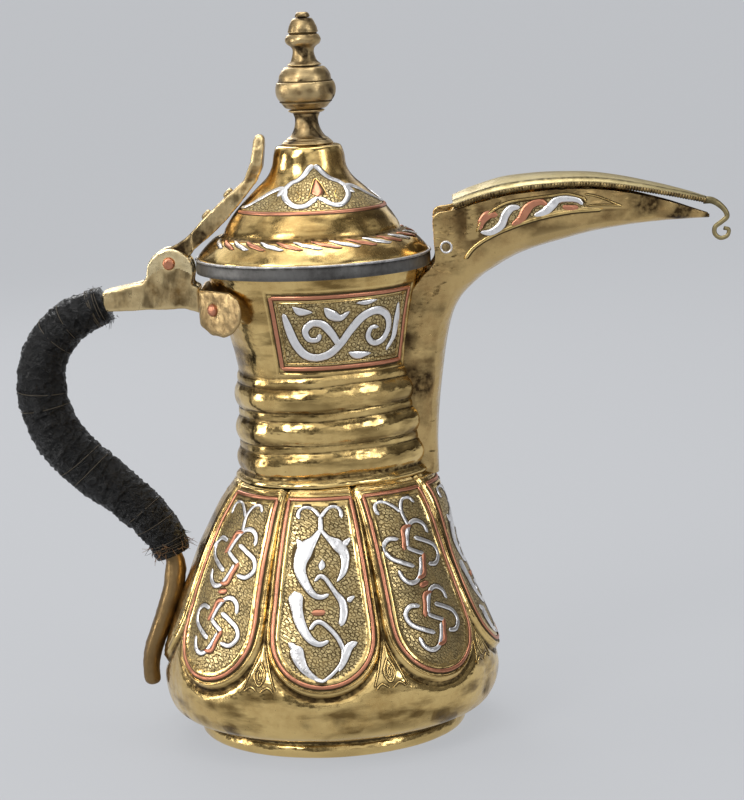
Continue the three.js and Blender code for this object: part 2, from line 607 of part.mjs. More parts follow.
// Straight sides up the lobe and a round foot.
function panelOutline(middle) {
  const path = [];
  for (const z of [PANEL_TOP, 88, 76, 64, PANEL_ROUND]) path.push(onBulb(middle - PANEL_HALF_ANGLE, z));
  for (let step = 1; step < 8; step++) {
    const turn = Math.PI * step / 8;
    path.push(onBulb(middle - PANEL_HALF_ANGLE * Math.cos(turn),
      PANEL_ROUND - (PANEL_ROUND - PANEL_FOOT) * Math.sin(turn)));
  }
  for (const z of [PANEL_ROUND, 64, 76, 88, PANEL_TOP]) path.push(onBulb(middle + PANEL_HALF_ANGLE, z));
  path.push(onBulb(middle + PANEL_HALF_ANGLE * 0.5, PANEL_TOP), onBulb(middle, PANEL_TOP));
  path.push(onBulb(middle - PANEL_HALF_ANGLE * 0.5, PANEL_TOP));
  return path;
}

// Silver figure down a panel: a winding stem, or the same stem crossed twice into knots.
function panelFigure(middle, knotted) {
  const path = [];
  const steps = 22;
  for (let step = 0; step <= steps; step++) {
    const t = step / steps;
    const z = THREE.MathUtils.lerp(PANEL_TOP - 6, PANEL_FOOT + 6, t);
    const sway = Math.sin(t * Math.PI * (knotted ? 6 : 4)) * PANEL_HALF_ANGLE * (0.34 + 0.24 * t);
    path.push(onBulb(middle + sway, z));
  }
  return path;
}

const TAIL_LOBE = 6; // the lobe under the handle's tail stays plain
for (let lobe = 0; lobe < LOBES; lobe++) {
  if (lobe === TAIL_LOBE) continue;
  const middle = (lobe / LOBES) * Math.PI * 2 - Math.PI / 2;
  addPiece(`panel_border_${lobe + 1}`, wire(panelOutline(middle), WIRE, { closed: true }), copper);
  addPiece(`panel_figure_${lobe + 1}`, wire(panelFigure(middle, lobe % 2 === 1), WIRE), silver);
}

// Frame and arabesque on each side of the neck, between the handle's yoke and the spout.
const NECK_PANEL = { start: 23, end: -65, foot: 147, top: 175, steps: 10 };
function onNeck(side, degrees, z) {
  const angle = THREE.MathUtils.degToRad(-90 - degrees);
  const r = neckProfile(z) + bulge(angle, z) + LIFT;
  return point(Math.cos(angle) * r, side * -Math.sin(angle) * r, z);
}
function neckFrame(side) {
  const { start, end, foot, top, steps } = NECK_PANEL;
  const easeAcross = 2.5; // degrees and millimetres left out at each corner, so that it rounds off
  const easeUp = 1.6;
  const across = (from, to, z) => {
    const away = Math.sign(to - from) * easeAcross;
    return Array.from({ length: steps + 1 }, (_, i) =>
      onNeck(side, THREE.MathUtils.lerp(from + away, to - away, i / steps), z));
  };
  const upright = (degrees, heights) => heights.map((z) => onNeck(side, degrees, z));
  return [
    ...across(start, end, top),
    ...upright(end, [top - easeUp, 168, 161, 154, foot + easeUp]),
    ...across(end, start, foot),
    ...upright(start, [foot + easeUp, 154, 161, 168, top - easeUp]),
  ];
}
function neckFigure(side) {
  const { start, end, foot, top, steps } = NECK_PANEL;
  const path = [];
  for (let i = 1; i < 2 * steps; i++) {
    const t = i / (2 * steps);
    const z = (foot + top) / 2 + Math.sin(t * Math.PI * 5) * 8;
    path.push(onNeck(side, THREE.MathUtils.lerp(start, end, t), z));
  }
  return path;
}
for (const [name, side] of [['front', -1], ['rear', 1]]) {
  addPiece(`neck_border_${name}`, wire(neckFrame(side), WIRE, { closed: true, steps: 72 }), copper);
  addPiece(`neck_figure_${name}`, wire(neckFigure(side), WIRE), silver);
}

// Two wires let into the lid all round, broken off at the lever.
function lidWire(height, radius) {
  const path = [];
  for (let step = 0; step <= 28; step++) {
    const angle = THREE.MathUtils.lerp(-162, 162, step / 28);
    const turn = THREE.MathUtils.degToRad(angle);
    path.push(point(Math.cos(turn) * radius, Math.sin(turn) * radius, height));
  }
  return wire(path, WIRE);
}
addPiece('lid_line', lidWire(205.4, 29.9), copper);
addPiece('lid_rope', lidWire(192.9, 41.8), silver);

export default dallah;
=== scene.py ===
import math

import bpy
import numpy as np
from mathutils import Matrix, Vector


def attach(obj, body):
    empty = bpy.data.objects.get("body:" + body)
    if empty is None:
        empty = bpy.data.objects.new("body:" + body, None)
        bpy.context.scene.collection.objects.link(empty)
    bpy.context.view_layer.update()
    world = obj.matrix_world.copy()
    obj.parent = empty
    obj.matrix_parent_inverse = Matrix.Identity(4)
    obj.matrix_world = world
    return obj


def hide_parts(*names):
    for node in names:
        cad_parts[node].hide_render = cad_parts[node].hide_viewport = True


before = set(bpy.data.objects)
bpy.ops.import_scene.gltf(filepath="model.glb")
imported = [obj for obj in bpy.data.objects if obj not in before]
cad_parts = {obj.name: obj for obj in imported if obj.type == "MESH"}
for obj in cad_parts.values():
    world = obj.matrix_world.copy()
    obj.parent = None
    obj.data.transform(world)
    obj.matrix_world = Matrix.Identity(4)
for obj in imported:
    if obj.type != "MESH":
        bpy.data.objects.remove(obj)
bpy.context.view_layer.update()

MM = 0.001
CURVE_STEPS = 24              # points worked out between two knots of a curve
TAU = 2 * math.pi

# ---------- sizes of the vessel, in millimetres ----------
FOOT_RADIUS = 52.6
BULB_PROFILE = [
    (53.6, 6.9), (62.8, 11.2), (67.3, 22), (65.6, 35), (58.6, 54), (50.4, 74), (41.5, 90.5),
    (35.2, 99.4), (33.4, 101.6),
]
BULB_TOP = 101.6
LOBES = 8
LOBE_TURN = 360 / LOBES
TAIL_LOBE = 6                 # the lobe under the handle's tail stays plain
LOBE_DEPTH = 3.3
PANEL_HALF_ANGLE = 18.6       # degrees from a lobe's middle to the copper line
PANEL_TOP = 97.5
PANEL_ROUND = 52              # below this height the panel rounds off
PANEL_FOOT = 32
LOBE_FOOT = 26.5
NECK_RIM = 181.6
NECK_WAIST = 143
NECK_WAIST_RADIUS = 31
RING_HEIGHTS = (109.3, 121.8, 134.6)
RING_HALF_HEIGHT = 4.6
BAND_HEIGHTS = (102.9, 115.5, 128.2, 141)     # slighter bands between the rings
BAND_HALF_HEIGHT = 2.3
BAND_SWELL = 0.75
RING_SWELL = 2.1
RING_TILT = 0.9               # the rings stand this much higher on the spout's side
SPOUT_BULGE = 8               # how far the vessel swells towards the spout
BULGE_START = 64              # heights at which it starts, is full and starts to fade
BULGE_FULL = 101
BULGE_FADE = 118
HAMMER_WAVE = 0.17            # height and width of the broad and the fine waves of the hammer work
HAMMER_WAVE_SIZE = 12
FINE_WAVE = 0.075
FINE_WAVE_SIZE = 4.2
CARTOUCHE_MIDDLE = 21         # degrees from the front towards the spout
CARTOUCHE_HALF_ANGLE = 44
CARTOUCHE_FOOT = 147
CARTOUCHE_TOP = 175
LID_PROFILE = [
    (45.1, 187.2), (44.1, 189), (41, 192.4), (37.6, 195.1), (34.7, 196), (33.2, 199), (28.9, 205.3),
    (21.1, 212.8), (16.6, 217.2), (14.4, 221.4), (13.6, 226), (12.6, 228.8), (11.4, 229.5),
]
LID_LINE_HEIGHT = 205.6
SIDES = (("front", -1), ("rear", 1))
WALL = 1.2
COVER_SHEET = 0.9
EAR_CENTRE = (-55.3, 182.5)
HINGE_PIN = (-55.6, 186.2)
COVER_PIN = (51.7, 189.3)
GROUND_MARGIN = 2.6           # from a panel's line to the punched ground inside it
NECK_CHART_RADIUS = 33.5      # at which the neck's panel is laid out flat
LID_CHART_RADIUS = 24
LID_LINE_RADIUS = 29
LID_SLOPE = 1.4               # length along the dome's slope for each millimetre of height
ROPE_RADIUS = 39
LID_PANEL_MIDDLE = 80         # degrees from the spout's side to the middle of the lid's strapwork
CHEEK_HALF_WIDTH = 13.4


# ---------- number work ----------
def smoothstep(value, low, high):
    share = np.clip((np.asarray(value, float) - low) / (high - low), 0, 1)
    return share * share * (3 - 2 * share)


def hump(value, width):
    """1 at zero, falling to nothing over about twice the width."""
    return np.exp(-(np.asarray(value, float) / width) ** 2)


def lumps(points, size, seed, waves=16):
    """Smooth seeded unevenness of about -1 to 1; size is the width of one lump in millimetres."""
    rng = np.random.default_rng(seed)
    directions = rng.normal(size=(waves, 3))
    directions /= np.linalg.norm(directions, axis=1)[:, None]
    lengths = size * rng.uniform(1.2, 3.0, waves)
    phases = rng.uniform(0, TAU, waves)
    total = np.zeros(len(points))
    for direction, length, phase in zip(directions, lengths, phases):
        total += np.sin(points @ direction * (TAU / length) + phase)
    return total / math.sqrt(2 * waves)


def curve(knots, count, places=2):
    """Rows spaced evenly along a Catmull-Rom curve; the first `places` columns are its coordinates."""
    knots = np.array(knots, float)
    knots = np.vstack([2 * knots[0] - knots[1], knots, 2 * knots[-1] - knots[-2]])
    share = np.linspace(0, 1, CURVE_STEPS, endpoint=False)[:, None]
    spans = []
    for before, start, end, after in zip(knots, knots[1:], knots[2:], knots[3:]):
        spans.append(0.5 * (
            2 * start + (end - before) * share
            + (2 * before - 5 * start + 4 * end - after) * share ** 2
            + (3 * start - before - 3 * end + after) * share ** 3
        ))
    fine = np.vstack(spans + [knots[-2:-1]])
    steps = np.linalg.norm(np.diff(fine[:, :places], axis=0), axis=1)
    length = np.concatenate([[0], np.cumsum(steps)])
    at = np.linspace(0, length[-1], count)
    return np.column_stack([np.interp(at, length, column) for column in fine.T])


def unit(vectors):
    return vectors / np.maximum(np.linalg.norm(vectors, axis=-1, keepdims=True), 1e-9)


def outward(points):
    """Unit vectors level with the ground, away from the pot's axis."""
    return unit(points * (1, 1, 0))


def roughened(points, out, amount, size, seed):
    """Points moved along `out` by smooth unevenness of about `amount` millimetres."""
    return points + out * (amount * lumps(points, size, seed))[:, None]


# ---------- mesh work ----------
def grid_faces(rows, columns, around=False):
    """Quads of a grid of points, closed round its columns if asked."""
    across = columns if around else columns - 1
    row, column = np.meshgrid(np.arange(rows - 1), np.arange(across), indexing="ij")
    beside = (column + 1) % columns
    corners = [row * columns + column, row * columns + beside,
               (row + 1) * columns + beside, (row + 1) * columns + column]
    return np.stack(corners, axis=-1).reshape(-1, 4)


def new_object(name, data):
    thing = bpy.data.objects.new(name, data)
    bpy.context.scene.collection.objects.link(thing)
    return thing


def mesh_object(name, points, faces):
    mesh = bpy.data.meshes.new(name)
    mesh.from_pydata((np.asarray(points) * MM).tolist(), [], [list(face) for face in faces])
    mesh.shade_smooth()
    return new_object(name, mesh)


def coordinates(mesh):
    flat = np.empty(len(mesh.vertices) * 3)
    mesh.vertices.foreach_get("co", flat)
    return flat.reshape(-1, 3) / MM


def neighbour_mean(mesh):
    """A function that averages any per-vertex rows over each vertex's neighbours."""
    pairs = np.empty(len(mesh.edges) * 2, np.int64)
    mesh.edges.foreach_get("vertices", pairs)
    pairs = pairs.reshape(-1, 2)
    sources = np.concatenate([pairs[:, 0], pairs[:, 1]])
    targets = np.concatenate([pairs[:, 1], pairs[:, 0]])
    counts = np.maximum(np.bincount(targets, minlength=len(mesh.vertices)), 1)

    def mean(rows):
        sums = [np.bincount(targets, column[sources], len(counts)) for column in rows.T]
        return np.column_stack(sums) / counts[:, None]
    return mean


def normals(mesh):
    flat = np.empty(len(mesh.vertices) * 3)
    mesh.vertices.foreach_get("normal", flat)
    return flat.reshape(-1, 3)


def store(mesh, name, values):
    layer = mesh.attributes.new(name, "FLOAT", "POINT")
    layer.data.foreach_set("value", np.asarray(values, np.float32))


def store_chart(mesh, across, up):
    """Keeps where each vertex lies on the unrolled surface, in millimetres, for the punched ground."""
    layer = mesh.attributes.new("chart", "FLOAT_VECTOR", "POINT")
    layer.data.foreach_set("vector", np.column_stack([across, up, 0 * across]).astype(np.float32).ravel())


def use_second_material(mesh, chosen):
    mesh.polygons.foreach_set("material_index", chosen.astype(np.int32))


def store_cavity(mesh, passes):
    """Keeps how far each vertex lies below its surroundings, in millimetres, for the dirt and the shine."""
    mean = neighbour_mean(mesh)
    start = coordinates(mesh)
    rows = start
    for _ in range(passes):
        rows = mean(rows)
    store(mesh, "cavity", np.sum((rows - start) * normals(mesh), axis=1))


def deepen_cavity(piece, extra):
    """Adds pretended depth, in millimetres, at each vertex, which darkens the metal there."""
    layer = piece.data.attributes["cavity"]
    depth = np.empty(len(piece.data.vertices), np.float32)
    layer.data.foreach_get("value", depth)
    layer.data.foreach_set("value", (depth + extra).astype(np.float32))


def finish_piece(piece, body, materials, replaces=(), passes=8):
    for material in materials:
        piece.data.materials.append(material)
    store_cavity(piece.data, passes)
    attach(piece, body)
    if replaces:
        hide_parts(*replaces)
    return piece


def joined(parts):
    """(points, faces) of several meshes as one."""
    points, faces, start = [], [], 0
    for part_points, part_faces in parts:
        points.append(part_points)
        faces += [[corner + start for corner in face] for face in part_faces]
        start += len(part_points)
    return np.vstack(points), faces


def spun(profile, segments, centre=(0, 0)):
    """Points of a profile of (radius, height) turned round a vertical axis, one row per profile point."""
    profile = np.asarray(profile, float)
    angles = np.arange(segments) / segments * TAU
    x = centre[0] + profile[:, :1] * np.cos(angles)
    y = centre[1] + profile[:, :1] * np.sin(angles)
    z = np.repeat(profile[:, 1:2], segments, axis=1)
    return np.stack([x, y, z], axis=-1)


def lathe(name, profile, body, material, replaces=(), segments=256, uneven=0.05, size=9, seed=1):
    """A turned piece of a closed profile, or of one that ends on the axis, slightly uneven by hand work."""
    rows = spun(profile, segments)
    faces = grid_faces(len(profile), segments, around=True)
    points = rows.reshape(-1, 3)
    points = roughened(points, outward(points), uneven, size, seed)
    piece = mesh_object(name, points, faces[:, ::-1] if profile[0][1] > profile[-1][1] else faces)
    return finish_piece(piece, body, [material], replaces)


def thickened(piece, thickness):
    """Gives a single skin a thickness behind it."""
    walls = piece.modifiers.new("walls", "SOLIDIFY")
    walls.thickness = thickness * MM
    walls.offset = -1


def swept(path, radii, sides):
    """Tube points and faces along a path, with round ends; radii has one value for each path point."""
    path = np.asarray(path, float)
    radii = np.asarray(radii, float)
    along = unit(np.gradient(path, axis=0))
    guide = np.array([0, 1, 0]) if abs(along[:, 1]).mean() < 0.7 else np.array([0, 0, 1])
    side = unit(np.cross(along, guide))
    rise = np.cross(side, along)
    turn = np.arange(sides) / sides * TAU
    ring = side[:, None] * np.cos(turn)[None, :, None] + rise[:, None] * np.sin(turn)[None, :, None]
    points = path[:, None] + ring * radii[:, None, None]
    faces = grid_faces(len(path), sides, around=True).tolist()
    ends = np.array([path[0], path[-1]])
    count = len(path) * sides
    last = count - sides
    for step in range(sides):
        after = (step + 1) % sides
        faces.append([count, after, step])
        faces.append([count + 1, last + step, last + after])
    return np.vstack([points.reshape(-1, 3), ends]), faces


# ---------- materials ----------
def add_node(tree, kind, inputs=None, **settings):
    made = tree.nodes.new(kind)
    for key, value in settings.items():
        setattr(made, key, value)
    for key, value in (inputs or {}).items():
        if isinstance(value, bpy.types.NodeSocket):
            tree.links.new(value, made.inputs[key])
        else:
            made.inputs[key].default_value = value
    return made


def new_material(name):
    material = bpy.data.materials.new(name)
    material.use_nodes = True
    tree = material.node_tree
    shader = tree.nodes["Principled BSDF"]
    place = add_node(tree, "ShaderNodeTexCoord").outputs["Object"]
    return material, tree, shader, place


def noise(tree, place, size, detail=4, rough=0.55, stretch=None):
    """Noise whose features are about `size` millimetres wide."""
    if stretch:
        place = add_node(tree, "ShaderNodeMapping", {"Vector": place, "Scale": stretch}).outputs[0]
    return add_node(tree, "ShaderNodeTexNoise", {
        "Vector": place, "Scale": 1 / (size * MM), "Detail": detail, "Roughness": rough,
    }).outputs["Fac"]


def ranged(tree, value, low, high, to_low=0.0, to_high=1.0):
    return add_node(tree, "ShaderNodeMapRange", {
        "Value": value, "From Min": low, "From Max": high, "To Min": to_low, "To Max": to_high,
    }, clamp=True).outputs[0]


def mixed(tree, share, first, second):
    made = add_node(tree, "ShaderNodeMix", {"Factor": share}, data_type="RGBA")
    for socket, value in zip((made.inputs[6], made.inputs[7]), (first, second)):
        if isinstance(value, bpy.types.NodeSocket):
            tree.links.new(value, socket)
        else:
            socket.default_value = (*value, 1)
    return made.outputs[2]


def combined(tree, operation, first, second):
    made = add_node(tree, "ShaderNodeMath", {0: first, 1: second}, operation=operation, use_clamp=True)
    return made.outputs[0]


def times(tree, first, second):
    return combined(tree, "MULTIPLY", first, second)


def attribute(tree, name, output="Fac"):
    return add_node(tree, "ShaderNodeAttribute", attribute_name=name).outputs[output]


def bumped(tree, height, strength, depth, before=None):
    """A bump of `depth` millimetres, on top of another bump if one is given."""
    inputs = {"Height": height, "Strength": strength, "Distance": depth * MM}
    if before:
        inputs["Normal"] = before
    return add_node(tree, "ShaderNodeBump", inputs).outputs[0]


MOTTLE_SIZE = 3.2            # widths of the marks in the metals, in millimetres
REFLECTION_SIZE = 26
SPECK_SIZE = 0.9
DENT_SIZE = 3.2
WAVE_SIZE = 9
PUNCH_PITCH = 1.65


def metal(name, bright, dull, dark, polish=0.2, wear=0.3, tarnish=0.5, pits=0.25, scratches=0.2,
          hammer=0.0, cavity_full=0.22, painted_reflection=0.0, planished=0.0,
          cloud=26, reflection_stretch=(1, 1, 3.6), grain=(1, 1, 0.12)):
    """Old polished metal: clean on the high places, tarnished in clouds, dark in the recesses, with painted
    dark reflections in stretched streaks.
    """
    material, tree, shader, place = new_material(name)
    clouds = ranged(tree, noise(tree, place, cloud, detail=6, rough=0.6), 0.62 - 0.3 * tarnish, 0.72)
    mottle = ranged(tree, noise(tree, place, MOTTLE_SIZE, detail=5, rough=0.65), 0.42, 0.72)
    # Painted reflection: stretched noise darkens the colour in streaks and patches, standing in for
    # reflections of a dark room.
    dark_reflections = noise(tree, place, REFLECTION_SIZE, detail=5, stretch=reflection_stretch)
    dark_reflections = ranged(tree, dark_reflections, 0.47, 0.62, 0.0, painted_reflection)
    specks = ranged(tree, noise(tree, place, SPECK_SIZE, detail=3), 0.66, 0.74)
    depth = attribute(tree, "cavity")
    recess = ranged(tree, depth, 0.02, cavity_full)
    broken = ranged(tree, noise(tree, place, 2.2, detail=4), 0.3, 0.6, 0.45, 1.0)
    grime = times(tree, recess, broken)
    grime = combined(tree, "MAXIMUM", grime, times(tree, specks, 0.5))
    tone = combined(tree, "ADD", times(tree, clouds, tarnish),
                    times(tree, mottle, 0.3 * tarnish))
    colour = mixed(tree, tone, bright, dull)
    # The painted dark reflections are mixed into the colour here.
    colour = mixed(tree, dark_reflections, colour, [share * 0.36 for share in dull])
    rubbed = times(tree, ranged(tree, depth, -0.04, -0.16), 0.75)
    colour = mixed(tree, rubbed, colour, bright)
    colour = mixed(tree, grime, colour, dark)
    tree.links.new(colour, shader.inputs["Base Color"])
    shader.inputs["Metallic"].default_value = 1.0
    fine = noise(tree, place, 0.7, detail=3, stretch=grain)
    gloss = add_node(tree, "ShaderNodeMath", {
        0: times(tree, tone, wear), 1: 1.0, 2: ranged(tree, fine, 0.3, 0.8, polish, polish + 0.12),
    }, operation="MULTIPLY_ADD", use_clamp=True).outputs[0]
    gloss = combined(tree, "ADD", gloss, times(tree, grime, 0.3))
    tree.links.new(gloss, shader.inputs["Roughness"])
    height = add_node(tree, "ShaderNodeMath", {
        0: noise(tree, place, 1.1, detail=5), 1: pits, 2: times(tree, fine, scratches),
    }, operation="MULTIPLY_ADD").outputs[0]
    bump = bumped(tree, height, 0.5, 0.12)
    if hammer:
        dents = add_node(tree, "ShaderNodeTexVoronoi", {
            "Vector": place, "Scale": 1 / (DENT_SIZE * MM), "Smoothness": 0.6,
        }, feature="SMOOTH_F1").outputs["Distance"]
        bump = bumped(tree, dents, hammer, 0.5, bump)
    if planished:
        waves = noise(tree, place, WAVE_SIZE, detail=2, stretch=(1, 1, 1.8))
        bump = bumped(tree, waves, planished, 2.2, bump)
    tree.links.new(bump, shader.inputs["Normal"])
    return material


def punched_ground(name, bright, dull, dark):
    """Brass struck all over with a ring punch, worn bright on the rings and dark between them."""
    material, tree, shader, place = new_material(name)
    chart = attribute(tree, "chart", "Vector")
    cells = add_node(tree, "ShaderNodeTexVoronoi", {
        "Vector": chart, "Scale": 1 / PUNCH_PITCH, "Randomness": 0.6,
    }, voronoi_dimensions="2D")
    distance = cells.outputs["Distance"]
    bead = ranged(tree, distance, 0.30, 0.38, 1.0, 0.0)
    between = ranged(tree, distance, 0.44, 0.54, 0.0, 0.6)
    pip = ranged(tree, distance, 0.03, 0.1, 0.5, 0.0)
    lit = combined(tree, "SUBTRACT", combined(tree, "MAXIMUM", bead, between), pip)
    worn = ranged(tree, noise(tree, place, 9, detail=5), 0.3, 0.55, 0.45, 1.0)
    grimy = ranged(tree, noise(tree, place, 1.6, detail=5), 0.35, 0.65, 0.55, 1.0)
    share = times(tree, times(tree, lit, worn), grimy)
    colour = mixed(tree, share, dark, bright)
    colour = mixed(tree, times(tree, ranged(tree, noise(tree, place, 5), 0.45, 0.7), 0.5), colour, dull)
    tree.links.new(colour, shader.inputs["Base Color"])
    shader.inputs["Metallic"].default_value = 1.0
    tree.links.new(ranged(tree, share, 0.0, 1.0, 0.55, 0.3), shader.inputs["Roughness"])
    height = combined(tree, "ADD", lit, times(tree, noise(tree, place, 0.8, detail=3), 0.35))
    tree.links.new(bumped(tree, height, 0.9, 0.35), shader.inputs["Normal"])
    return material


def waxed_wrap(name):
    """Black waxed hide strips: fibrous, greasy, with greyed high fibres."""
    material, tree, shader, place = new_material(name)
    fibre = noise(tree, place, 2.2, detail=8, rough=0.62)
    clumps = noise(tree, place, 5, detail=4)
    depth = attribute(tree, "cavity")
    raised = ranged(tree, depth, 0.0, -0.18)
    pale = times(tree, ranged(tree, fibre, 0.55, 0.72), ranged(tree, clumps, 0.4, 0.65, 0.2, 1.0))
    colour = mixed(tree, times(tree, raised, 0.6), (0.0010, 0.0010, 0.0010), (0.003, 0.0028, 0.0028))
    colour = mixed(tree, times(tree, pale, 0.5), colour, (0.02, 0.017, 0.015))
    tree.links.new(colour, shader.inputs["Base Color"])
    shader.inputs["Specular IOR Level"].default_value = 0.28
    tree.links.new(ranged(tree, fibre, 0.4, 0.7, 0.06, 0.26), shader.inputs["Roughness"])
    tree.links.new(bumped(tree, fibre, 1.0, 2.0), shader.inputs["Normal"])
    return material


def plain_fibre(name, light, dark):
    material, tree, shader, place = new_material(name)
    tree.links.new(mixed(tree, noise(tree, place, 0.8), light, dark), shader.inputs["Base Color"])
    tree.links.new(ranged(tree, noise(tree, place, 0.5), 0.3, 0.7, 0.6, 0.85), shader.inputs["Roughness"])
    return material


BRASS = metal("brass_body", (0.84, 0.61, 0.25), (0.42, 0.25, 0.075), (0.05, 0.03, 0.012),
              polish=0.09, wear=0.2, tarnish=0.7, painted_reflection=0.85, planished=0.28)
BRASS_SPOUT = metal("brass_spout", (0.66, 0.47, 0.20), (0.32, 0.185, 0.07), (0.05, 0.03, 0.013),
                    polish=0.1, wear=0.2, tarnish=0.75, painted_reflection=0.85, planished=0.6, cloud=13,
                    reflection_stretch=(1.3, 1.1, 1.8))
BRASS_LID = metal("brass_lid", (0.88, 0.63, 0.25), (0.44, 0.24, 0.065), (0.05, 0.028, 0.01),
                  polish=0.09, wear=0.16, tarnish=0.7, painted_reflection=0.7, planished=0.12)
BRASS_OLIVE = metal("brass_cover", (0.50, 0.41, 0.21), (0.27, 0.215, 0.10), (0.05, 0.04, 0.02),
                    polish=0.26, wear=0.25, tarnish=0.7, pits=0.5, cloud=12)
BRASS_CAST = metal("brass_cast", (0.74, 0.57, 0.30), (0.22, 0.14, 0.055), (0.04, 0.026, 0.014),
                   polish=0.2, wear=0.35, tarnish=0.85, pits=0.9, scratches=0.8, hammer=0.2, painted_reflection=0.7,
                   cloud=9, reflection_stretch=(5, 5, 2), planished=0.12)
BRASS_TAIL = metal("brass_tail", (0.26, 0.17, 0.075), (0.11, 0.07, 0.033), (0.03, 0.02, 0.01),
                   polish=0.3, wear=0.3, tarnish=0.8, pits=0.9, scratches=0.7, hammer=0.3, cloud=8)
BRASS_HAMMERED = metal("brass_hammered", (0.68, 0.50, 0.22), (0.34, 0.22, 0.08), (0.05, 0.032, 0.014),
                       polish=0.13, wear=0.3, tarnish=0.7, pits=0.6, hammer=0.35, cloud=9, painted_reflection=0.5)
# A lighter, glossier brass for the upper half of the handle's ear.
BRASS_EAR_TOP = metal("brass_ear_top", (0.88, 0.72, 0.42), (0.5, 0.36, 0.16), (0.06, 0.04, 0.02),
                     polish=0.2, wear=0.25, tarnish=0.5, pits=0.9, scratches=0.6, hammer=0.35, cloud=6)
BRASS_LUG = metal("brass_lug", (0.50, 0.36, 0.175), (0.16, 0.10, 0.045), (0.04, 0.025, 0.014),
                  polish=0.24, wear=0.3, tarnish=0.85, pits=1.0, scratches=0.7, hammer=0.25, cloud=7,
                  painted_reflection=0.4)
BRASS_SATIN = metal("brass_finial", (0.58, 0.43, 0.215), (0.25, 0.16, 0.072), (0.045, 0.03, 0.015),
                    polish=0.27, wear=0.22, tarnish=0.8, pits=1.2, scratches=2.6, hammer=0.1, cloud=6,
                    painted_reflection=0.5, reflection_stretch=(1, 1, 6), grain=(0.1, 0.1, 1))
COPPER = metal("copper", (0.62, 0.27, 0.16), (0.30, 0.11, 0.065), (0.08, 0.035, 0.02),
               polish=0.28, wear=0.25, tarnish=0.55, pits=0.6, hammer=0.2, cavity_full=0.3)
SILVER = metal("silver", (0.92, 0.905, 0.90), (0.40, 0.40, 0.43), (0.08, 0.075, 0.07),
               polish=0.24, wear=0.25, tarnish=0.62, pits=1.3, scratches=1.0, hammer=0.35, cavity_full=0.24,
               cloud=7)
TINNED = metal("tinned_band", (0.25, 0.245, 0.235), (0.10, 0.095, 0.09), (0.02, 0.018, 0.017),
               polish=0.26, wear=0.35, tarnish=0.8, pits=0.8, scratches=0.4)
TIN_INSIDE = metal("tin_inside", (0.40, 0.38, 0.34), (0.20, 0.17, 0.13), (0.05, 0.045, 0.035),
                   polish=0.4, wear=0.3, tarnish=0.8)
# Dark ribbons and rings: under the inlay they are painted shadow along its raised edges; in the finial's cut
# lines they are dirt, and at the foot they are the dark joint.
SHADOW_AND_DIRT = metal("shadow_and_dirt", (0.10, 0.068, 0.03), (0.05, 0.034, 0.018), (0.02, 0.014, 0.008),
               polish=0.45, wear=0.2, tarnish=0.7, pits=0.8)
GROUND = punched_ground("brass_punched", (0.86, 0.68, 0.34), (0.52, 0.37, 0.15), (0.085, 0.055, 0.022))
WRAP = waxed_wrap("waxed_wrap")
THREAD = plain_fibre("pale_thread", (0.11, 0.085, 0.05), (0.02, 0.015, 0.01))
FRAY = plain_fibre("frayed_ends", (0.28, 0.14, 0.05), (0.10, 0.05, 0.02))


# ---------- shapes of the vessel ----------
bulb_curve = curve(BULB_PROFILE, 400)
lid_curve = curve(LID_PROFILE, 400)


def bulb_profile(z):
    """The bulb's greatest radius at a height, before its lobes are sunk."""
    return np.interp(z, bulb_curve[:, 1], bulb_curve[:, 0])


def bulge(angle, z):
    """How far the vessel stands out towards the spout."""
    rise = smoothstep(z, BULGE_START, BULGE_FULL)
    fall = smoothstep(z, BULGE_FADE, NECK_RIM)
    return SPOUT_BULGE * rise * (1 - 0.66 * fall) * np.clip(np.cos(angle), 0, None) ** 4


def off_lobe(angle):
    """Number of the nearest lobe and the degrees from its middle."""
    turn = np.degrees(angle) + 90
    lobe = np.round(turn / LOBE_TURN)
    return lobe.astype(int) % LOBES, turn - lobe * LOBE_TURN


def panel_share(angle, z):
    """1 on the copper line, and 1 on the lobe's outer edge: the two outlines as fields."""
    _, off = off_lobe(angle)
    drop = np.clip(PANEL_ROUND - z, 0, None)
    line = np.hypot(off / PANEL_HALF_ANGLE, drop / (PANEL_ROUND - PANEL_FOOT))
    edge = np.hypot(off / (LOBE_TURN / 2), drop / (PANEL_ROUND - LOBE_FOOT))
    return line, edge


def panel_distance(angle, z):
    """Millimetres from the copper line, below zero inside it."""
    line, _ = panel_share(angle, z)
    return np.maximum((line - 1) * math.radians(PANEL_HALF_ANGLE) * bulb_profile(z), z - PANEL_TOP)


def bulb_radius(angle, z, detail=True):
    lobe, off = off_lobe(angle)
    line, edge = panel_share(angle, z)
    radius = bulb_profile(z) + bulge(angle, z)
    roll = np.clip((line - 1) / np.maximum(line - edge, 1e-4), 0, 1)
    depth = LOBE_DEPTH * smoothstep(z, 8, 24) * (1 - 0.35 * smoothstep(z, 70, BULGE_FULL))
    past = np.clip(edge - 1, 0, None)
    rolled = np.where(edge < 1, roll ** 2.4, 0.42 + 0.58 * np.exp(-past / 0.045))
    radius = radius - depth * (0.16 * (off / (LOBE_TURN / 2)) ** 2 + 0.84 * rolled)
    if detail:
        apart = panel_distance(angle, z)
        inside = smoothstep(-apart, 2.3, 3.1) * (lobe != TAIL_LOBE)
        radius = radius - 0.5 * inside
        radius = radius + 0.22 * hump(apart + 1.8, 0.5) - 0.3 * hump(apart - 1.5, 0.4)
        radius = radius + 0.25 * hump(apart - 2.4, 0.45) * (edge < 1)
        radius = radius - 0.5 * smoothstep(z, 99.4, 101.2)
    return radius


def neck_profile(z):
    flare = 0.1078 * np.clip(z - NECK_WAIST, 0, None) ** 1.245
    return NECK_WAIST_RADIUS + flare + 2.2 * (1 - smoothstep(z, BULB_TOP, 104.9))


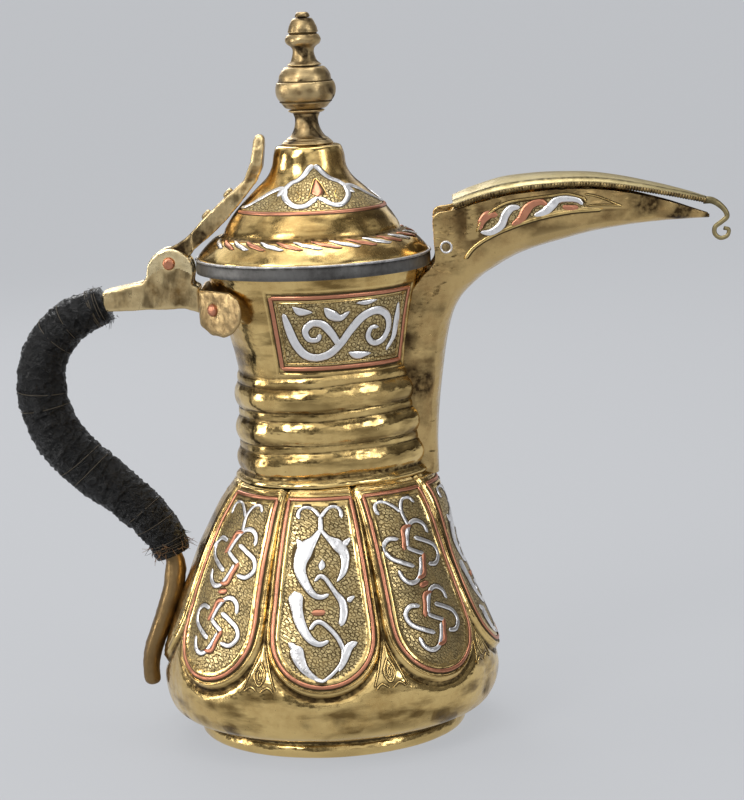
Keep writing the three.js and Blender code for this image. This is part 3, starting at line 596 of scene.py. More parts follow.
def cartouche_distance(angle, z):
    """Millimetres from the outline of the neck's inlaid panel, below zero inside it."""
    turn = 90 - np.abs(np.degrees(np.arctan2(np.sin(angle), np.cos(angle))))
    wide = np.radians(np.abs(turn - CARTOUCHE_MIDDLE) - CARTOUCHE_HALF_ANGLE) * neck_profile(z)
    tall = np.abs(z - (CARTOUCHE_FOOT + CARTOUCHE_TOP) / 2) - (CARTOUCHE_TOP - CARTOUCHE_FOOT) / 2
    return np.maximum(wide, tall)


def neck_radius(angle, z, detail=True):
    radius = neck_profile(z) + bulge(angle, z) + 0.22 * np.cos(8 * angle)
    level = z - RING_TILT * np.cos(angle) - 0.3 * np.sin(3 * angle + z / 6)
    for height in RING_HEIGHTS:
        share = np.clip(1 - np.abs(level - height) / RING_HALF_HEIGHT, 0, 1)
        radius = radius + RING_SWELL * (1 - (1 - share) ** 2) ** 0.6
    for height in BAND_HEIGHTS:
        share = np.clip(1 - np.abs(level - height) / BAND_HALF_HEIGHT, 0, 1)
        radius = radius + BAND_SWELL * (1 - (1 - share) ** 2) ** 0.6
    if detail:
        apart = cartouche_distance(angle, z)
        radius = radius - 0.45 * smoothstep(-apart, 1.6, 2.3)
        radius = radius - 0.3 * hump(apart - 1.4, 0.45) + 0.2 * hump(apart - 2.4, 0.5)
    return radius


def beaten(angle, z, radius, seed):
    """Points at a radius, with the slight waves left by the hammer."""
    angle, z, radius = np.broadcast_arrays(angle, z, radius)
    points = np.stack([np.cos(angle) * radius, np.sin(angle) * radius, z], axis=-1)
    rows = points.reshape(-1, 3)
    broad = HAMMER_WAVE * lumps(rows, HAMMER_WAVE_SIZE, seed)
    waves = broad + FINE_WAVE * lumps(rows, FINE_WAVE_SIZE, seed + 1)
    return (rows + outward(rows) * waves[:, None]).reshape(points.shape)


def on_bulb(angle, z):
    return beaten(angle, z, bulb_radius(angle, z), 3)


def on_neck(angle, z):
    return beaten(angle, z, neck_radius(angle, z), 5)


def on_lid(angle, z):
    return beaten(angle, z, np.interp(z, lid_curve[:, 1], lid_curve[:, 0]), 8)


def vessel_part(name, surface, heights, columns, distance, replaces):
    """A fine skin of the vessel; faces inside the inlaid panels take the punched ground."""
    angles = (np.arange(columns) / columns - 0.5) * TAU
    turn, z = np.meshgrid(angles, heights)
    points = surface(turn, z).reshape(-1, 3)
    faces = grid_faces(len(heights), columns, around=True)
    piece = mesh_object(name, points, faces)
    store_chart(piece.data, turn.reshape(-1) * np.hypot(points[:, 0], points[:, 1]), points[:, 2])
    middles = points[faces].mean(axis=1)
    angle = np.arctan2(middles[:, 1], middles[:, 0])
    use_second_material(piece.data, distance(angle, middles[:, 2]) < -GROUND_MARGIN)
    finish_piece(piece, "pot", [BRASS, GROUND], replaces)
    deepen_cavity(piece, 0.3 * np.clip(lumps(points, 7, 6), 0, None) * (1 - smoothstep(points[:, 2], 9, 30)))


def panel_ground(angle, z):
    lobe, _ = off_lobe(angle)
    return np.where(lobe == TAIL_LOBE, 1.0, panel_distance(angle, z))


bulb_heights = np.concatenate([curve(BULB_PROFILE, 132)[:, 1], [BULB_TOP + 0.3]])
vessel_part("pot_bulb", on_bulb, bulb_heights, 720, panel_ground, ["body_bulb"])
vessel_part("pot_neck", on_neck, np.linspace(BULB_TOP - 0.4, NECK_RIM, 168), 560,
            lambda angle, z: cartouche_distance(angle, z) - 1.2, ["body_neck"])

# The tinned inside of the vessel, seen when the lid is open.
inside_profile = [
    (0.1, 3), (40, 3.4), (50, 9), (57, 20), (56.5, 36), (50, 54), (42, 74), (32, 95), (29.2, 103),
    (29.6, NECK_WAIST), (33.6, 165), (37.7, 176.5), (38, NECK_RIM - 0.3), (39.6, NECK_RIM),
]
lathe("pot_lining", curve(inside_profile, 90)[::-1], "pot", TIN_INSIDE, uneven=0.02, segments=128)

foot_profile = [
    (47.5, 0), (50.8, 0), (52.2, 0.9), (FOOT_RADIUS, 2.6), (52.2, 4.4), (51.6, 5.6), (52.2, 6.4),
    (53, 7), (50, 8.5), (47.5, 6),
]
joint_profile = [(53.2, 6.3), (53.9, 6.9), (53.2, 7.6), (52.6, 6.9), (53.2, 6.3)]
lathe("foot", curve(foot_profile + [foot_profile[0]], 60), "pot", BRASS, ["foot_ring"],
      uneven=0.12, size=16)
lathe("foot_joint", curve(joint_profile, 16), "pot", SHADOW_AND_DIRT, uneven=0.05)
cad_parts["base_disc"].data.materials[0] = BRASS_CAST


# ---------- inlay: ribbons of metal beaten into the surface ----------
SIDE_STEPS = np.linspace(-1, 1, 7)


def surface_normals(surface, first, second, reach=(0.004, 0.25)):
    """Outward unit normals of a surface of two parameters."""
    along = surface(first + reach[0], second) - surface(first - reach[0], second)
    up = surface(first, second + reach[1]) - surface(first, second - reach[1])
    return unit(np.cross(along, up))


def ribbon(centre, out, widths, height, edge_sunk=0.3):
    """Points and faces of a raised ribbon with rounded ends along a line on a surface."""
    length = np.concatenate([[0], np.cumsum(np.linalg.norm(np.diff(centre, axis=0), axis=1))])
    reach = np.minimum(length, length[-1] - length)
    half = widths / 2
    cap = np.clip(reach / np.maximum(half, 0.05), 0, 1)
    half = half * np.sqrt(np.maximum(1 - (1 - cap) ** 2, 0.0025))
    along = unit(np.gradient(centre, axis=0))
    side = unit(np.cross(out, along))
    lift = height - (height + edge_sunk) * np.abs(SIDE_STEPS) ** 5
    points = (centre[:, None] + side[:, None] * (half[:, None] * SIDE_STEPS)[..., None]
              + out[:, None] * lift[None, :, None])
    return points.reshape(-1, 3), grid_faces(len(centre), len(SIDE_STEPS))[:, ::-1]


def stroke(surface, knots, place, height, grow=0.0, wider=1.0, step=0.7):
    """A ribbon through knots of (across, up, width); place turns across and up into surface parameters."""
    knots = np.array(knots, float)
    rough_length = np.linalg.norm(np.diff(knots[:, :2], axis=0), axis=1).sum()
    line = curve(knots, max(8, int(rough_length / step)))
    first, second = place(line[:, 0], line[:, 1])
    widths = np.clip(line[:, 2], 0.3, None) * wider + grow
    return ribbon(surface(first, second), surface_normals(surface, first, second), widths, height)


def inlaid(name, parts, body, material, seed, replaces=()):
    """One piece of ribbons let into a surface round the pot's axis."""
    points, faces = joined(parts)
    points = roughened(points, outward(points), 0.05, 1.6, seed)
    finish_piece(mesh_object(name, points, faces), body, [material], replaces, passes=3)


def figure(name, surface, strokes, place, material, height=0.42, grow=0.0, replaces=(), wider=1.0):
    parts = [stroke(surface, knots, place, height, grow, wider) for knots in strokes]
    inlaid(name, parts, "pot", material, 11, replaces)


def panel_place(lobe):
    """Across and up in millimetres on one lobe."""
    middle = math.radians(lobe * LOBE_TURN - 90)

    def place(across, up):
        return middle + across / bulb_profile(up), up
    return place


# Winding split-leaf stem: a forked top with two curls, then three leaves that hook into each other.
STEM_SILVER = [
    [(-8.0, 90.8, 1.8), (-8.5, 92.6, 1.5), (-7.4, 94.2, 1.3), (-4.9, 94.9, 1.3), (-2, 93.8, 1.4),
     (0.2, 91.4, 1.5)],
    [(8.3, 90.6, 1.8), (8.2, 92.8, 1.5), (6.6, 94.5, 1.3), (4.4, 94.8, 1.3), (2.2, 93.6, 1.4),
     (0.2, 91.2, 1.5)],
    [(0.2, 92, 1.5), (0.3, 89, 1.7), (0.2, 86.4, 1.9)],
    [(0.3, 87.4, 1.4), (-2.4, 83.9, 3), (-5.8, 80.4, 6.2), (-7.9, 75.4, 5), (-7.5, 71.6, 3.9),
     (-5.3, 67.5, 2.9), (-2.7, 64.5, 2.1), (0, 63.7, 1.7), (2.9, 64.6, 1.3)],
    [(-8.9, 84, 1), (-6.6, 80.6, 4.4)],
    [(0.1, 87.4, 1.4), (2.9, 84.3, 1.9), (6.6, 81.6, 4.5), (9, 78.6, 3.8), (9.4, 75.2, 3), (8.4, 71.8, 2.3),
     (6, 68.8, 0.6)],
    [(11.8, 83.6, 0.9), (8.8, 81.4, 3)],
    [(0.6, 76.8, 0.5), (0.5, 74.9, 2.5), (-0.2, 73.1, 1.1)],
    [(-2.5, 69.3, 1.1), (-0.5, 71.1, 1.6), (1.6, 70.2, 1.6), (3.4, 67.8, 1.6), (5.3, 65.1, 1.8),
     (7.6, 62.1, 2.7), (8.4, 59.1, 3), (8, 56, 2.7), (6.9, 53.2, 1.8)],
    [(12.6, 63.3, 0.9), (9.7, 61.8, 2.7)],
    [(-10.2, 65.8, 5.6), (-9.9, 63, 5.4), (-9.5, 59.4, 4.4), (-8.6, 55.4, 4), (-6.8, 51.7, 3.3),
     (-4.2, 48.6, 2.6), (-1.1, 47.2, 1.9), (2.4, 48.3, 1.3)],
    [(-4.8, 52.4, 1.3), (-2.7, 54.8, 1.6), (-0.4, 54.9, 1.6), (2.3, 53, 1.6), (4.9, 50.3, 1.7),
     (6.8, 47.3, 1.7), (7.7, 44.4, 1.4), (7.1, 41, 1.3), (4.6, 37.7, 1.3), (1.2, 35, 1.3),
     (-1.1, 34.4, 1.6), (-4.5, 36.1, 2.2), (-7.5, 39, 3.3), (-9.5, 43, 4.8), (-10.3, 47, 5.4)],
    [(-13, 47.9, 1.2), (-10.4, 45.8, 3.2)],
    [(13.1, 47.2, 1.6), (10.2, 46, 2.9), (8.8, 43.6, 3), (7.5, 40.5, 2.3), (5.8, 37.4, 1)],
]
STEM_COPPER = [[(-4, 58.4, 2.2), (-1.3, 58.3, 2.2), (1.4, 58.4, 2.2)]]

# Two four-strand knots of bent silver and copper wire under a long forked stem.
KNOT_HALF_SILVER = [
    [(-4.6, 4.8, 1.5), (-8.6, 5.2, 1.7), (-11.2, 2.8, 1.8), (-10, -0.4, 1.7), (-6, -2.6, 1.7),
     (-1.8, -4.4, 1.7)],
    [(-8.6, -4.6, 1.6), (-7.7, -7.6, 1.7), (-5, -9.3, 1.8), (-2, -8.7, 1.7), (0.5, -5.6, 1.7),
     (2.2, -1.9, 1.7)],
]
KNOT_HALF_COPPER = [[(2.2, 8.2, 1.6), (-1.2, 7.6, 1.9), (-2.4, 4.6, 1.9), (-4, 1, 1.9)]]
KNOT_BAR = [[(-2.6, 1.8, 1.6), (0, 0.4, 1.6), (4, -1.4, 1.6)]]
KNOT_HEIGHTS = (75.5, 51)
FORK = [
    [(-9.2, 90.2, 1.9), (-9.8, 92.3, 1.5), (-8.4, 94.3, 1.3), (-5.4, 94.6, 1.3), (-2.2, 92.6, 1.3),
     (0.2, 90, 1.5)],
    [(7.6, 92.4, 1.4), (5.8, 94.6, 1.3), (3, 94.4, 1.3), (1.4, 92.6, 1.3), (0.6, 89.6, 1.5),
     (1.4, 84.4, 1.6)],
]
KNOT_SIZE = 1.14


def knots_at(strokes, height, turned):
    """Strokes of one knot moved up a panel, with a second copy turned half round."""
    placed = []
    for way in (1, -1) if turned else (1,):
        size = way * KNOT_SIZE
        placed += [[(size * across, height + size * up, width) for across, up, width in knots]
                   for knots in strokes]
    return placed


KNOT_SILVER = list(FORK)
KNOT_COPPER = [[(-2.4, 63.1, 2), (2.4, 63.8, 2)]]
for height in KNOT_HEIGHTS:
    KNOT_SILVER += knots_at(KNOT_HALF_SILVER, height, True) + knots_at(KNOT_BAR, height, False)
    KNOT_COPPER += knots_at(KNOT_HALF_COPPER, height, True)


def panel_border(width, out=0.0):
    """The copper line of a panel: down one side, round the foot and up, and a bar across the top."""
    reach = math.radians(PANEL_HALF_ANGLE)
    down = []
    for z in (PANEL_TOP, 86, 74, 63, PANEL_ROUND):
        down.append((-reach * bulb_profile(z) - out, z, width))
    round_foot = []
    for step in range(1, 8):
        turn = math.pi * step / 8
        z = PANEL_ROUND - (PANEL_ROUND - PANEL_FOOT + out) * math.sin(turn)
        half = reach * bulb_profile(z) + out
        round_foot.append((-half * math.cos(turn), z, width))
    up = [(-across, z, width) for across, z, width in reversed(down)]
    top = PANEL_TOP + out
    bar = [(down[0][0] - 0.3, top, width), (0, top, width), (up[-1][0] + 0.3, top, width)]
    return [down + round_foot + up, bar]


for lobe in range(LOBES):
    if lobe == TAIL_LOBE:
        continue
    number = lobe + 1
    knotted = lobe % 2 == 1
    place = panel_place(lobe)
    silver, copper = (KNOT_SILVER, KNOT_COPPER) if knotted else (STEM_SILVER, STEM_COPPER)
    # Painted shadow: a wider dark ribbon under the figure stands in for the shadow along its edges.
    figure(f"panel_inlay_shadow_{number}", on_bulb, silver + copper, place, SHADOW_AND_DIRT,
           height=0.17, grow=1.3, wider=1.25)
    figure(f"panel_silver_{number}", on_bulb, silver, place, SILVER, wider=1.25,
           replaces=[f"panel_figure_{number}"])
    figure(f"panel_copper_{number}", on_bulb, copper, place, COPPER, height=0.5, wider=1.2)
    # Painted shadow along the copper line's edges, as a wider dark ribbon.
    figure(f"panel_border_shadow_{number}", on_bulb, panel_border(2.9), place, SHADOW_AND_DIRT,
           height=0.12)
    figure(f"panel_line_{number}", on_bulb, panel_border(1.65), place, COPPER, height=0.5,
           replaces=[f"panel_border_{number}"])
    figure(f"panel_rim_{number}", on_bulb, panel_border(0.8, out=2.1), place, BRASS,
           height=0.3)


def mirrored(strokes):
    return strokes + [[(-across, up, width) for across, up, width in knots] for knots in strokes]


# Small engraved drop and scallops in the gore between two lobes.
SPANDREL = [
    [(0, 40.5, 0.7), (-2.3, 35.4, 0.7), (0, 31.6, 0.7), (2.3, 35.4, 0.7), (0, 40.5, 0.7)],
    [(0, 38, 0.6), (-0.9, 35.4, 0.6), (0, 33.4, 0.6), (0.9, 35.4, 0.6), (0, 38, 0.6)],
] + mirrored([
    [(-6.4, 29.2, 0.7), (-3.6, 31.2, 0.8), (-0.6, 29.4, 0.7)],
    [(-6.8, 30, 0.6), (-4.4, 35.6, 0.6), (-2, 41.5, 0.6), (-0.8, 46, 0.5)],
])
gores = [panel_place(lobe + 0.5) for lobe in range(LOBES) if lobe not in (TAIL_LOBE - 1, TAIL_LOBE)]
for number, place in enumerate(gores, 1):
    # Painted shadow along the engraved lines, as a wider dark ribbon under them.
    figure(f"gore_line_shadow_{number}", on_bulb, SPANDREL, place, SHADOW_AND_DIRT, height=0.14, grow=1.0)
    figure(f"gore_lines_{number}", on_bulb, SPANDREL, place, BRASS, height=0.36)


# ---------- the neck's inlaid panels ----------
def neck_place(side):
    """Across in millimetres from the middle, towards the spout; side is -1 for the front, 1 for the rear."""
    def place(across, up):
        turn = across / NECK_CHART_RADIUS
        return side * (math.pi / 2 - turn), up
    return place


# A scrolling vine: a long wave, two spirals and split leaves.
VINE = [
    [(-9.6, 169, 1.4), (-8.6, 163.5, 3), (-6.6, 157, 3.2), (-3.2, 152.6, 3), (1.4, 151.2, 2.8),
     (6.6, 152.6, 2.8), (11, 156.4, 2.8), (14.8, 161.6, 3), (19, 166.2, 3.2), (24.4, 168, 3),
     (29, 165.4, 2.8), (30.6, 160.4, 2.6), (28.4, 156, 2.4), (24.4, 155.2, 2.2), (21.8, 158, 2),
     (22.8, 161.4, 1.6), (25.6, 161.4, 1.4)],
    [(10.2, 155.6, 2), (7.4, 160.2, 2.6), (4, 164.2, 2.8), (0.2, 164.8, 2.6), (-2.4, 162, 2.3),
     (-1.2, 158.6, 2), (2, 158.4, 1.8), (3, 160.8, 1.4)],
    [(4.6, 171, 0.8), (7, 168, 3.6), (10.4, 166.4, 2.4), (13.6, 168.8, 0.8)],
    [(-6, 171.8, 0.6), (-3.6, 169.6, 3), (0.6, 169.4, 0.8)],
    [(14, 152.6, 0.8), (18, 151, 3), (23.6, 151.4, 0.8)],
    [(33.6, 169.8, 0.8), (34.4, 164, 3.2), (33.8, 156.6, 2.2), (30.6, 151.6, 0.8)],
    [(15.8, 171.8, 0.7), (19.6, 171.6, 1.8), (23.4, 172.4, 0.7)],
]


def neck_border(width, out=0.0):
    low, high = CARTOUCHE_FOOT - out, CARTOUCHE_TOP + out
    start = math.radians(CARTOUCHE_MIDDLE - CARTOUCHE_HALF_ANGLE) * NECK_CHART_RADIUS - out
    end = math.radians(CARTOUCHE_MIDDLE + CARTOUCHE_HALF_ANGLE) * NECK_CHART_RADIUS + out
    middle = (start + end) / 2
    return [
        [(start, low - 0.4, width), (start, (low + high) / 2, width), (start, high + 0.4, width)],
        [(end, low - 0.4, width), (end, (low + high) / 2, width), (end, high + 0.4, width)],
        [(start, high, width), (middle, high, width), (end, high, width)],
        [(start, low, width), (middle, low, width), (end, low, width)],
    ]


for name, side in SIDES:
    place = neck_place(side)
    # Painted shadow: a wider dark ribbon under the vine stands in for the shadow along its edges.
    figure(f"neck_inlay_shadow_{name}", on_neck, VINE, place, SHADOW_AND_DIRT, height=0.16,
           grow=1.3, wider=1.3)
    figure(f"neck_silver_{name}", on_neck, VINE, place, SILVER, height=0.5,
           replaces=[f"neck_figure_{name}"], wider=1.3)
    # Painted shadow along the copper line's edges, as a wider dark ribbon.
    figure(f"neck_border_shadow_{name}", on_neck, neck_border(3.4), place, SHADOW_AND_DIRT, height=0.12)
    figure(f"neck_line_{name}", on_neck, neck_border(1.9), place, COPPER, height=0.5,
           replaces=[f"neck_border_{name}"])
    figure(f"neck_rim_{name}", on_neck, neck_border(0.5, out=-2.0), place, BRASS,
           height=0.25)


# ---------- lid ----------
lid_outside = lid_curve[::-1][::4]
lid_inside = lid_outside[::-1] - (WALL, WALL)
lid_shell = np.vstack([[(0.5, 229.6)], lid_outside, lid_inside[2:-2], [(0.5, 228.2)]])
lid_columns = 288
lid_turn = np.arange(lid_columns) / lid_columns * TAU
lid_rows = beaten(lid_turn[None, :], lid_shell[:, 1:2], lid_shell[:, :1], 8).reshape(-1, 3)
lid_faces = grid_faces(len(lid_shell), lid_columns, around=True)[:, ::-1]
lid_mesh = mesh_object("lid_shell", lid_rows, lid_faces)
lid_middles = lid_rows[lid_faces].mean(axis=1)
lid_off = np.degrees(np.arctan2(np.abs(lid_middles[:, 1]), lid_middles[:, 0])) - LID_PANEL_MIDDLE
STRAP_TOP = [(0, 221.6), (14, 218.4), (31, 215.2), (41, 212.5), (54, 211.9), (73, 207.6), (84, 206)]
strap_top = np.interp(np.abs(lid_off), *np.array(STRAP_TOP).T)
on_strap = (lid_middles[:, 2] > LID_LINE_HEIGHT + 0.8) & (lid_middles[:, 2] < strap_top)
outer_skin = np.repeat(np.arange(len(lid_shell) - 1) < len(lid_outside), lid_columns)
use_second_material(lid_mesh.data, on_strap & outer_skin)
lid_arc = np.arctan2(lid_rows[:, 1], lid_rows[:, 0]) * LID_CHART_RADIUS
store_chart(lid_mesh.data, lid_arc, lid_rows[:, 2] * LID_SLOPE)
finish_piece(lid_mesh, "lid", [BRASS_LID, GROUND], ["lid_dome"])
band_profile = [
    (45.4, 182.2), (45.6, 183.2), (45.5, 186), (45.3, 186.9), (44.8, 187.3), (43.4, 187.4), (43.2, 182.4),
    (44.2, 182),
]
# Painted highlight: the band's top edge is a thin ring of bright silver, standing in for the light caught
# along that edge.
highlight_edge_profile = [(45.2, 186.7), (45.75, 187.1), (45.6, 187.6), (44.9, 187.7), (44.6, 187.1), (45.2, 186.7)]
lathe("lid_band", curve(band_profile + band_profile[:1], 44)[::-1], "lid", TINNED,
      ["lid_rim_band"], uneven=0.1, size=10, seed=9)
# The bright silver ring is a painted highlight along the band's top edge.
lathe("lid_band_highlight", curve(highlight_edge_profile, 20)[::-1], "lid", SILVER, uneven=0.08, size=8, seed=9)
skirt_profile = [(37, 186), (37, 178), (36.7, 177.5), (36, 177.5), (35.8, 178), (35.8, 186)]
lathe("lid_skirt_tin", skirt_profile, "lid", TIN_INSIDE, ["lid_skirt"], uneven=0.05)
underside = [(36, 183.2), (44.9, 183.2), (44.9, 184.4), (36, 184.4)]
lathe("lid_ledge", underside[::-1], "lid", TIN_INSIDE, uneven=0.02)


def lid_place(middle):
    """Across in degrees round the lid from `middle`, and up as a height."""
    def place(across, up):
        return np.radians(middle + across), up
    return place


# Ogee strapwork, one half: its mirror image completes it.
STRAP_HALF = [
    [(0, 222.4, 1.8), (7, 221.4, 1.9), (14, 219.2, 1.9), (22, 217.3, 1.7), (31, 216, 1.8), (37, 213.8, 2.4),
     (41, 211.6, 2)],
    [(0, 210.9, 1.8), (5, 210, 2), (12, 208.2, 2), (20, 208.2, 2), (27, 209.7, 2), (33, 211.6, 2.3),
     (36, 214, 2), (44, 214.2, 1.9), (54, 212.6, 1.8), (64, 210, 1.6), (73, 207.8, 1.5), (82, 207, 1.4)],
]

STRAP_BRASS = [
    [(-9, 211, 0.6), (-4, 215.6, 0.6), (1, 217.6, 0.7), (7, 215, 0.6), (10, 211, 0.6)],
] + mirrored([[(-22, 213.4, 0.6), (-17, 211.4, 0.6), (-20, 209.8, 0.6)]])
TRIANGLE = [[(0, 211.4, 6.6), (0.5, 213, 5.4), (1, 215, 3), (1.2, 217, 0.5)]]


def spread_stroke(surface, knots, place, height, grow, round_by, wider):
    """A stroke whose across is in degrees: it is spaced by real length round the given radius."""
    knots = np.array(knots, float)
    scale = math.radians(1) * round_by
    knots[:, 0] *= scale
    return stroke(surface, knots, lambda across, up: place(across / scale, up), height, grow, wider)


def lid_figure(name, strokes, place, material, height=0.45, grow=0.0, replaces=(), wider=1.0,
               round_by=LID_CHART_RADIUS):
    parts = [spread_stroke(on_lid, knots, place, height, grow, round_by, wider) for knots in strokes]
    inlaid(name, parts, "lid", material, 12, replaces)


for name, middle in (("front", -LID_PANEL_MIDDLE), ("rear", LID_PANEL_MIDDLE)):
    place = lid_place(middle)
    strap = mirrored(STRAP_HALF)
    # Painted shadow: a wider dark ribbon under the strapwork and triangle stands in for the shadow along
    # their edges.
    lid_figure(f"lid_strap_shadow_{name}", strap + TRIANGLE, place, SHADOW_AND_DIRT, height=0.14, grow=1.0,
               wider=1.25)
    lid_figure(f"lid_strap_{name}", strap, place, SILVER, wider=1.25)
    lid_figure(f"lid_triangle_{name}", TRIANGLE, place, COPPER)
    lid_figure(f"lid_engraving_{name}", STRAP_BRASS, place, BRASS_LID, height=0.25)

LEVER_GAP = 18                # degrees each side of the lever with no inlay
ring_line = [(across, LID_LINE_HEIGHT, 1.7) for across in np.linspace(-180 + LEVER_GAP, 180 - LEVER_GAP, 25)]
# Painted shadow along the copper ring line's edges, as a wider dark ribbon.
lid_figure("lid_ring_shadow", [ring_line], lid_place(0), SHADOW_AND_DIRT, height=0.14, grow=1.1,
           round_by=LID_LINE_RADIUS)
lid_figure("lid_ring", [ring_line], lid_place(0), COPPER, replaces=["lid_line"], round_by=LID_LINE_RADIUS)

# A rope of slanting leaves on the lid's shoulder, silver and copper by turns.
ROPE_LEAVES = 34
LEAF_TURN = 360 / ROPE_LEAVES
leaf = [
    (-8.4, 195.5, 0.5), (-5.6, 195.3, 1.5), (-2, 194.6, 2.0), (2, 194.1, 2.1), (5.6, 193.4, 1.5),
    (8.4, 193.2, 0.5),
]
for name, material, start in (("silver", SILVER, 0), ("copper", COPPER, 1)):
    leaves = []
    for step in range(start, ROPE_LEAVES, 2):
        middle = -180 + (step + 0.5) * LEAF_TURN
        if abs(middle) < 180 - LEVER_GAP:
            leaves.append([(middle + across, up, width) for across, up, width in leaf])
    # Painted shadow along the leaves' edges, as a wider dark ribbon.
    lid_figure(f"lid_rope_shadow_{name}", leaves, lid_place(0), SHADOW_AND_DIRT, height=0.14, grow=1.0,
               round_by=ROPE_RADIUS)
    lid_figure(f"lid_rope_{name}", leaves, lid_place(0), material, round_by=ROPE_RADIUS,
               replaces=["lid_rope"] if start == 0 else ())


# ---------- finial ----------
def grooved(profile, grooves, count=90):
    """A turned profile with fine grooves at the given heights."""
    line = curve(profile, count)
    for height in grooves:
        line[:, 0] -= 0.4 * hump(line[:, 1] - height, 0.3)
    return line


finial_parts = {
    "finial_base": ([
        (0.3, 229.6), (9.3, 229.8), (9.3, 230.8), (8.4, 231.8), (6.6, 233), (4.9, 236.2), (4.4, 239.4),
        (5.2, 241.4), (6.7, 242.3), (6.4, 243), (0.3, 243.2),
    ], (231.6, 241.6)),
    "finial_ball": ([
        (0.3, 243.3), (6.8, 243.4), (9.1, 245.2), (10.3, 246.7), (11.3, 248.7), (11.6, 251.2),
        (11.1, 253.4), (10.2, 254.5), (9.8, 256.4), (8.3, 258.7), (6.6, 259.4), (0.3, 259.5),
    ], (246.1, 253.9)),
    "finial_spool": ([
        (0.3, 259.6), (6.4, 259.8), (5, 261.6), (4.1, 264.6), (4.4, 266.6), (6.2, 268.1), (6.8, 269.6),
        (6.2, 271.1), (5, 271.8), (0.3, 271.9),
    ], ()),
    "finial_acorn": ([(0.3, 272), (5.3, 272.2), (5.6, 273.4), (4.9, 275.6), (3.5, 277.6), (0.3, 277.9)], ()),
    "finial_rod": ([(0.3, 277.8), (2.5, 278.1), (2.5, 279.2), (1.7, 280), (0.3, 280)], ()),
}
for name, (profile, grooves) in finial_parts.items():
    replaced = [name, "finial_washer"] if name == "finial_base" else [name]
    turned = lathe(f"{name}_turned", grooved(profile, grooves), "lid", BRASS_SATIN, replaced,
                   segments=96, uneven=0.16, size=4, seed=21)
    deepen_cavity(turned, 0.4 * np.clip(lumps(coordinates(turned.data), 2.6, 22), 0, None))

# Two dirt-filled lines cut round the finial's ball, and one under its acorn.
for number, (radius, height) in enumerate([(10.55, 253.95), (10.0, 246.15), (5.35, 272)], 1):
    half_ring = [(radius - 0.5, 0.28), (radius, 0.24)]
    ring = [(x, height - z) for x, z in half_ring] + [(radius + 0.12, height)]
    ring += [(x, height + z) for x, z in half_ring[::-1]] + [(radius - 0.5, height - 0.28)]
    lathe(f"finial_line_{number}", ring, "lid", SHADOW_AND_DIRT, segments=96, uneven=0.12, size=3, seed=21)


# ---------- spout ----------
SPOUT_STATIONS = [  # keel x, keel z, edge x, edge z, half width
    (45.6, 99.5, 34, 99.5, 6), (45.8, 114, 32, 114, 8.5), (46.9, 127, 30, 127, 10.5),
    (48.4, 138, 29, 140, 12), (50.6, 151.4, 31, 156, 12.8), (53.2, 161.5, 36, 170, 13.2),
    (56.5, 168, 42.4, 178.5, 13.4), (60.8, 172.6, 46.9, 183.5, 13.4), (66, 176.8, 47, 193, 13.4),
    (70, 179.2, 47.4, 201.4, 13.4), (74.5, 181.8, 54, 203.2, 13.4), (80, 184.4, 64, 205.6, 12.8),
    (87, 186.7, 76, 208, 11.9), (96, 189, 91, 209.2, 10.6), (108.6, 191.8, 107, 209, 9.1),
    (122, 193.7, 121.5, 206.8, 7.5), (136.4, 194.8, 136.5, 202.8, 5.7), (146, 195.1, 146.5, 199.3, 4.3),
    (153.2, 195.3, 153.2, 196.9, 3.3),
]
RIDGE = [
    (58.5, 184.2), (62.2, 188.6), (67.5, 192), (74.6, 195), (82.8, 197.6), (91.6, 199.5), (100.4, 200.7),
    (112, 201), (121, 200.8),
]
LENS_TOP = [
    (63.6, 194.6), (65.6, 198.8), (70.4, 202.8), (76, 205.4), (84.6, 206.4), (92, 207), (98.6, 207.4),
    (104.6, 205.6), (106, 203.2),
]

stations = curve(SPOUT_STATIONS, 190)
shares = np.linspace(-1, 1, 81)
spread = np.abs(shares) ** 0.8
section = np.sqrt(1 - (1 - np.clip(spread / 0.55, 0, 1)) ** 2) * np.sign(shares)
keel, edge, half_width = stations[:, [0, 1]], stations[:, [2, 3]], stations[:, 4]
flat_place = keel[:, None] + spread[None, :, None] * (edge - keel)[:, None]
spout_grid = np.stack([flat_place[..., 0], half_width[:, None] * section, flat_place[..., 1]], axis=-1)
ridge_line = curve(RIDGE, 80)
lens_line = curve(LENS_TOP, 80)


def above_line(line, x, z):
    """How far (x, z) stands above a line given by rising x, in millimetres."""
    return z - np.interp(x, line[:, 0], line[:, 1])


def cheek_relief(x, z):
    """How far the cheek plate stands proud of the spout's body."""
    along = smoothstep(x, 57, 62) * (1 - smoothstep(x, 116, 124))
    above = above_line(ridge_line, x, z)
    inside = smoothstep(above, 0.6, 1.4) * smoothstep(-above_line(lens_line, x, z), 0.4, 1.2)
    lens = inside * smoothstep(x, 63.5, 65) * (1 - smoothstep(x, 105, 106.5))
    return along * (0.9 * smoothstep(above, -0.7, 0.4) - 0.7 * hump(above + 1.6, 0.9)) - 0.5 * lens, lens


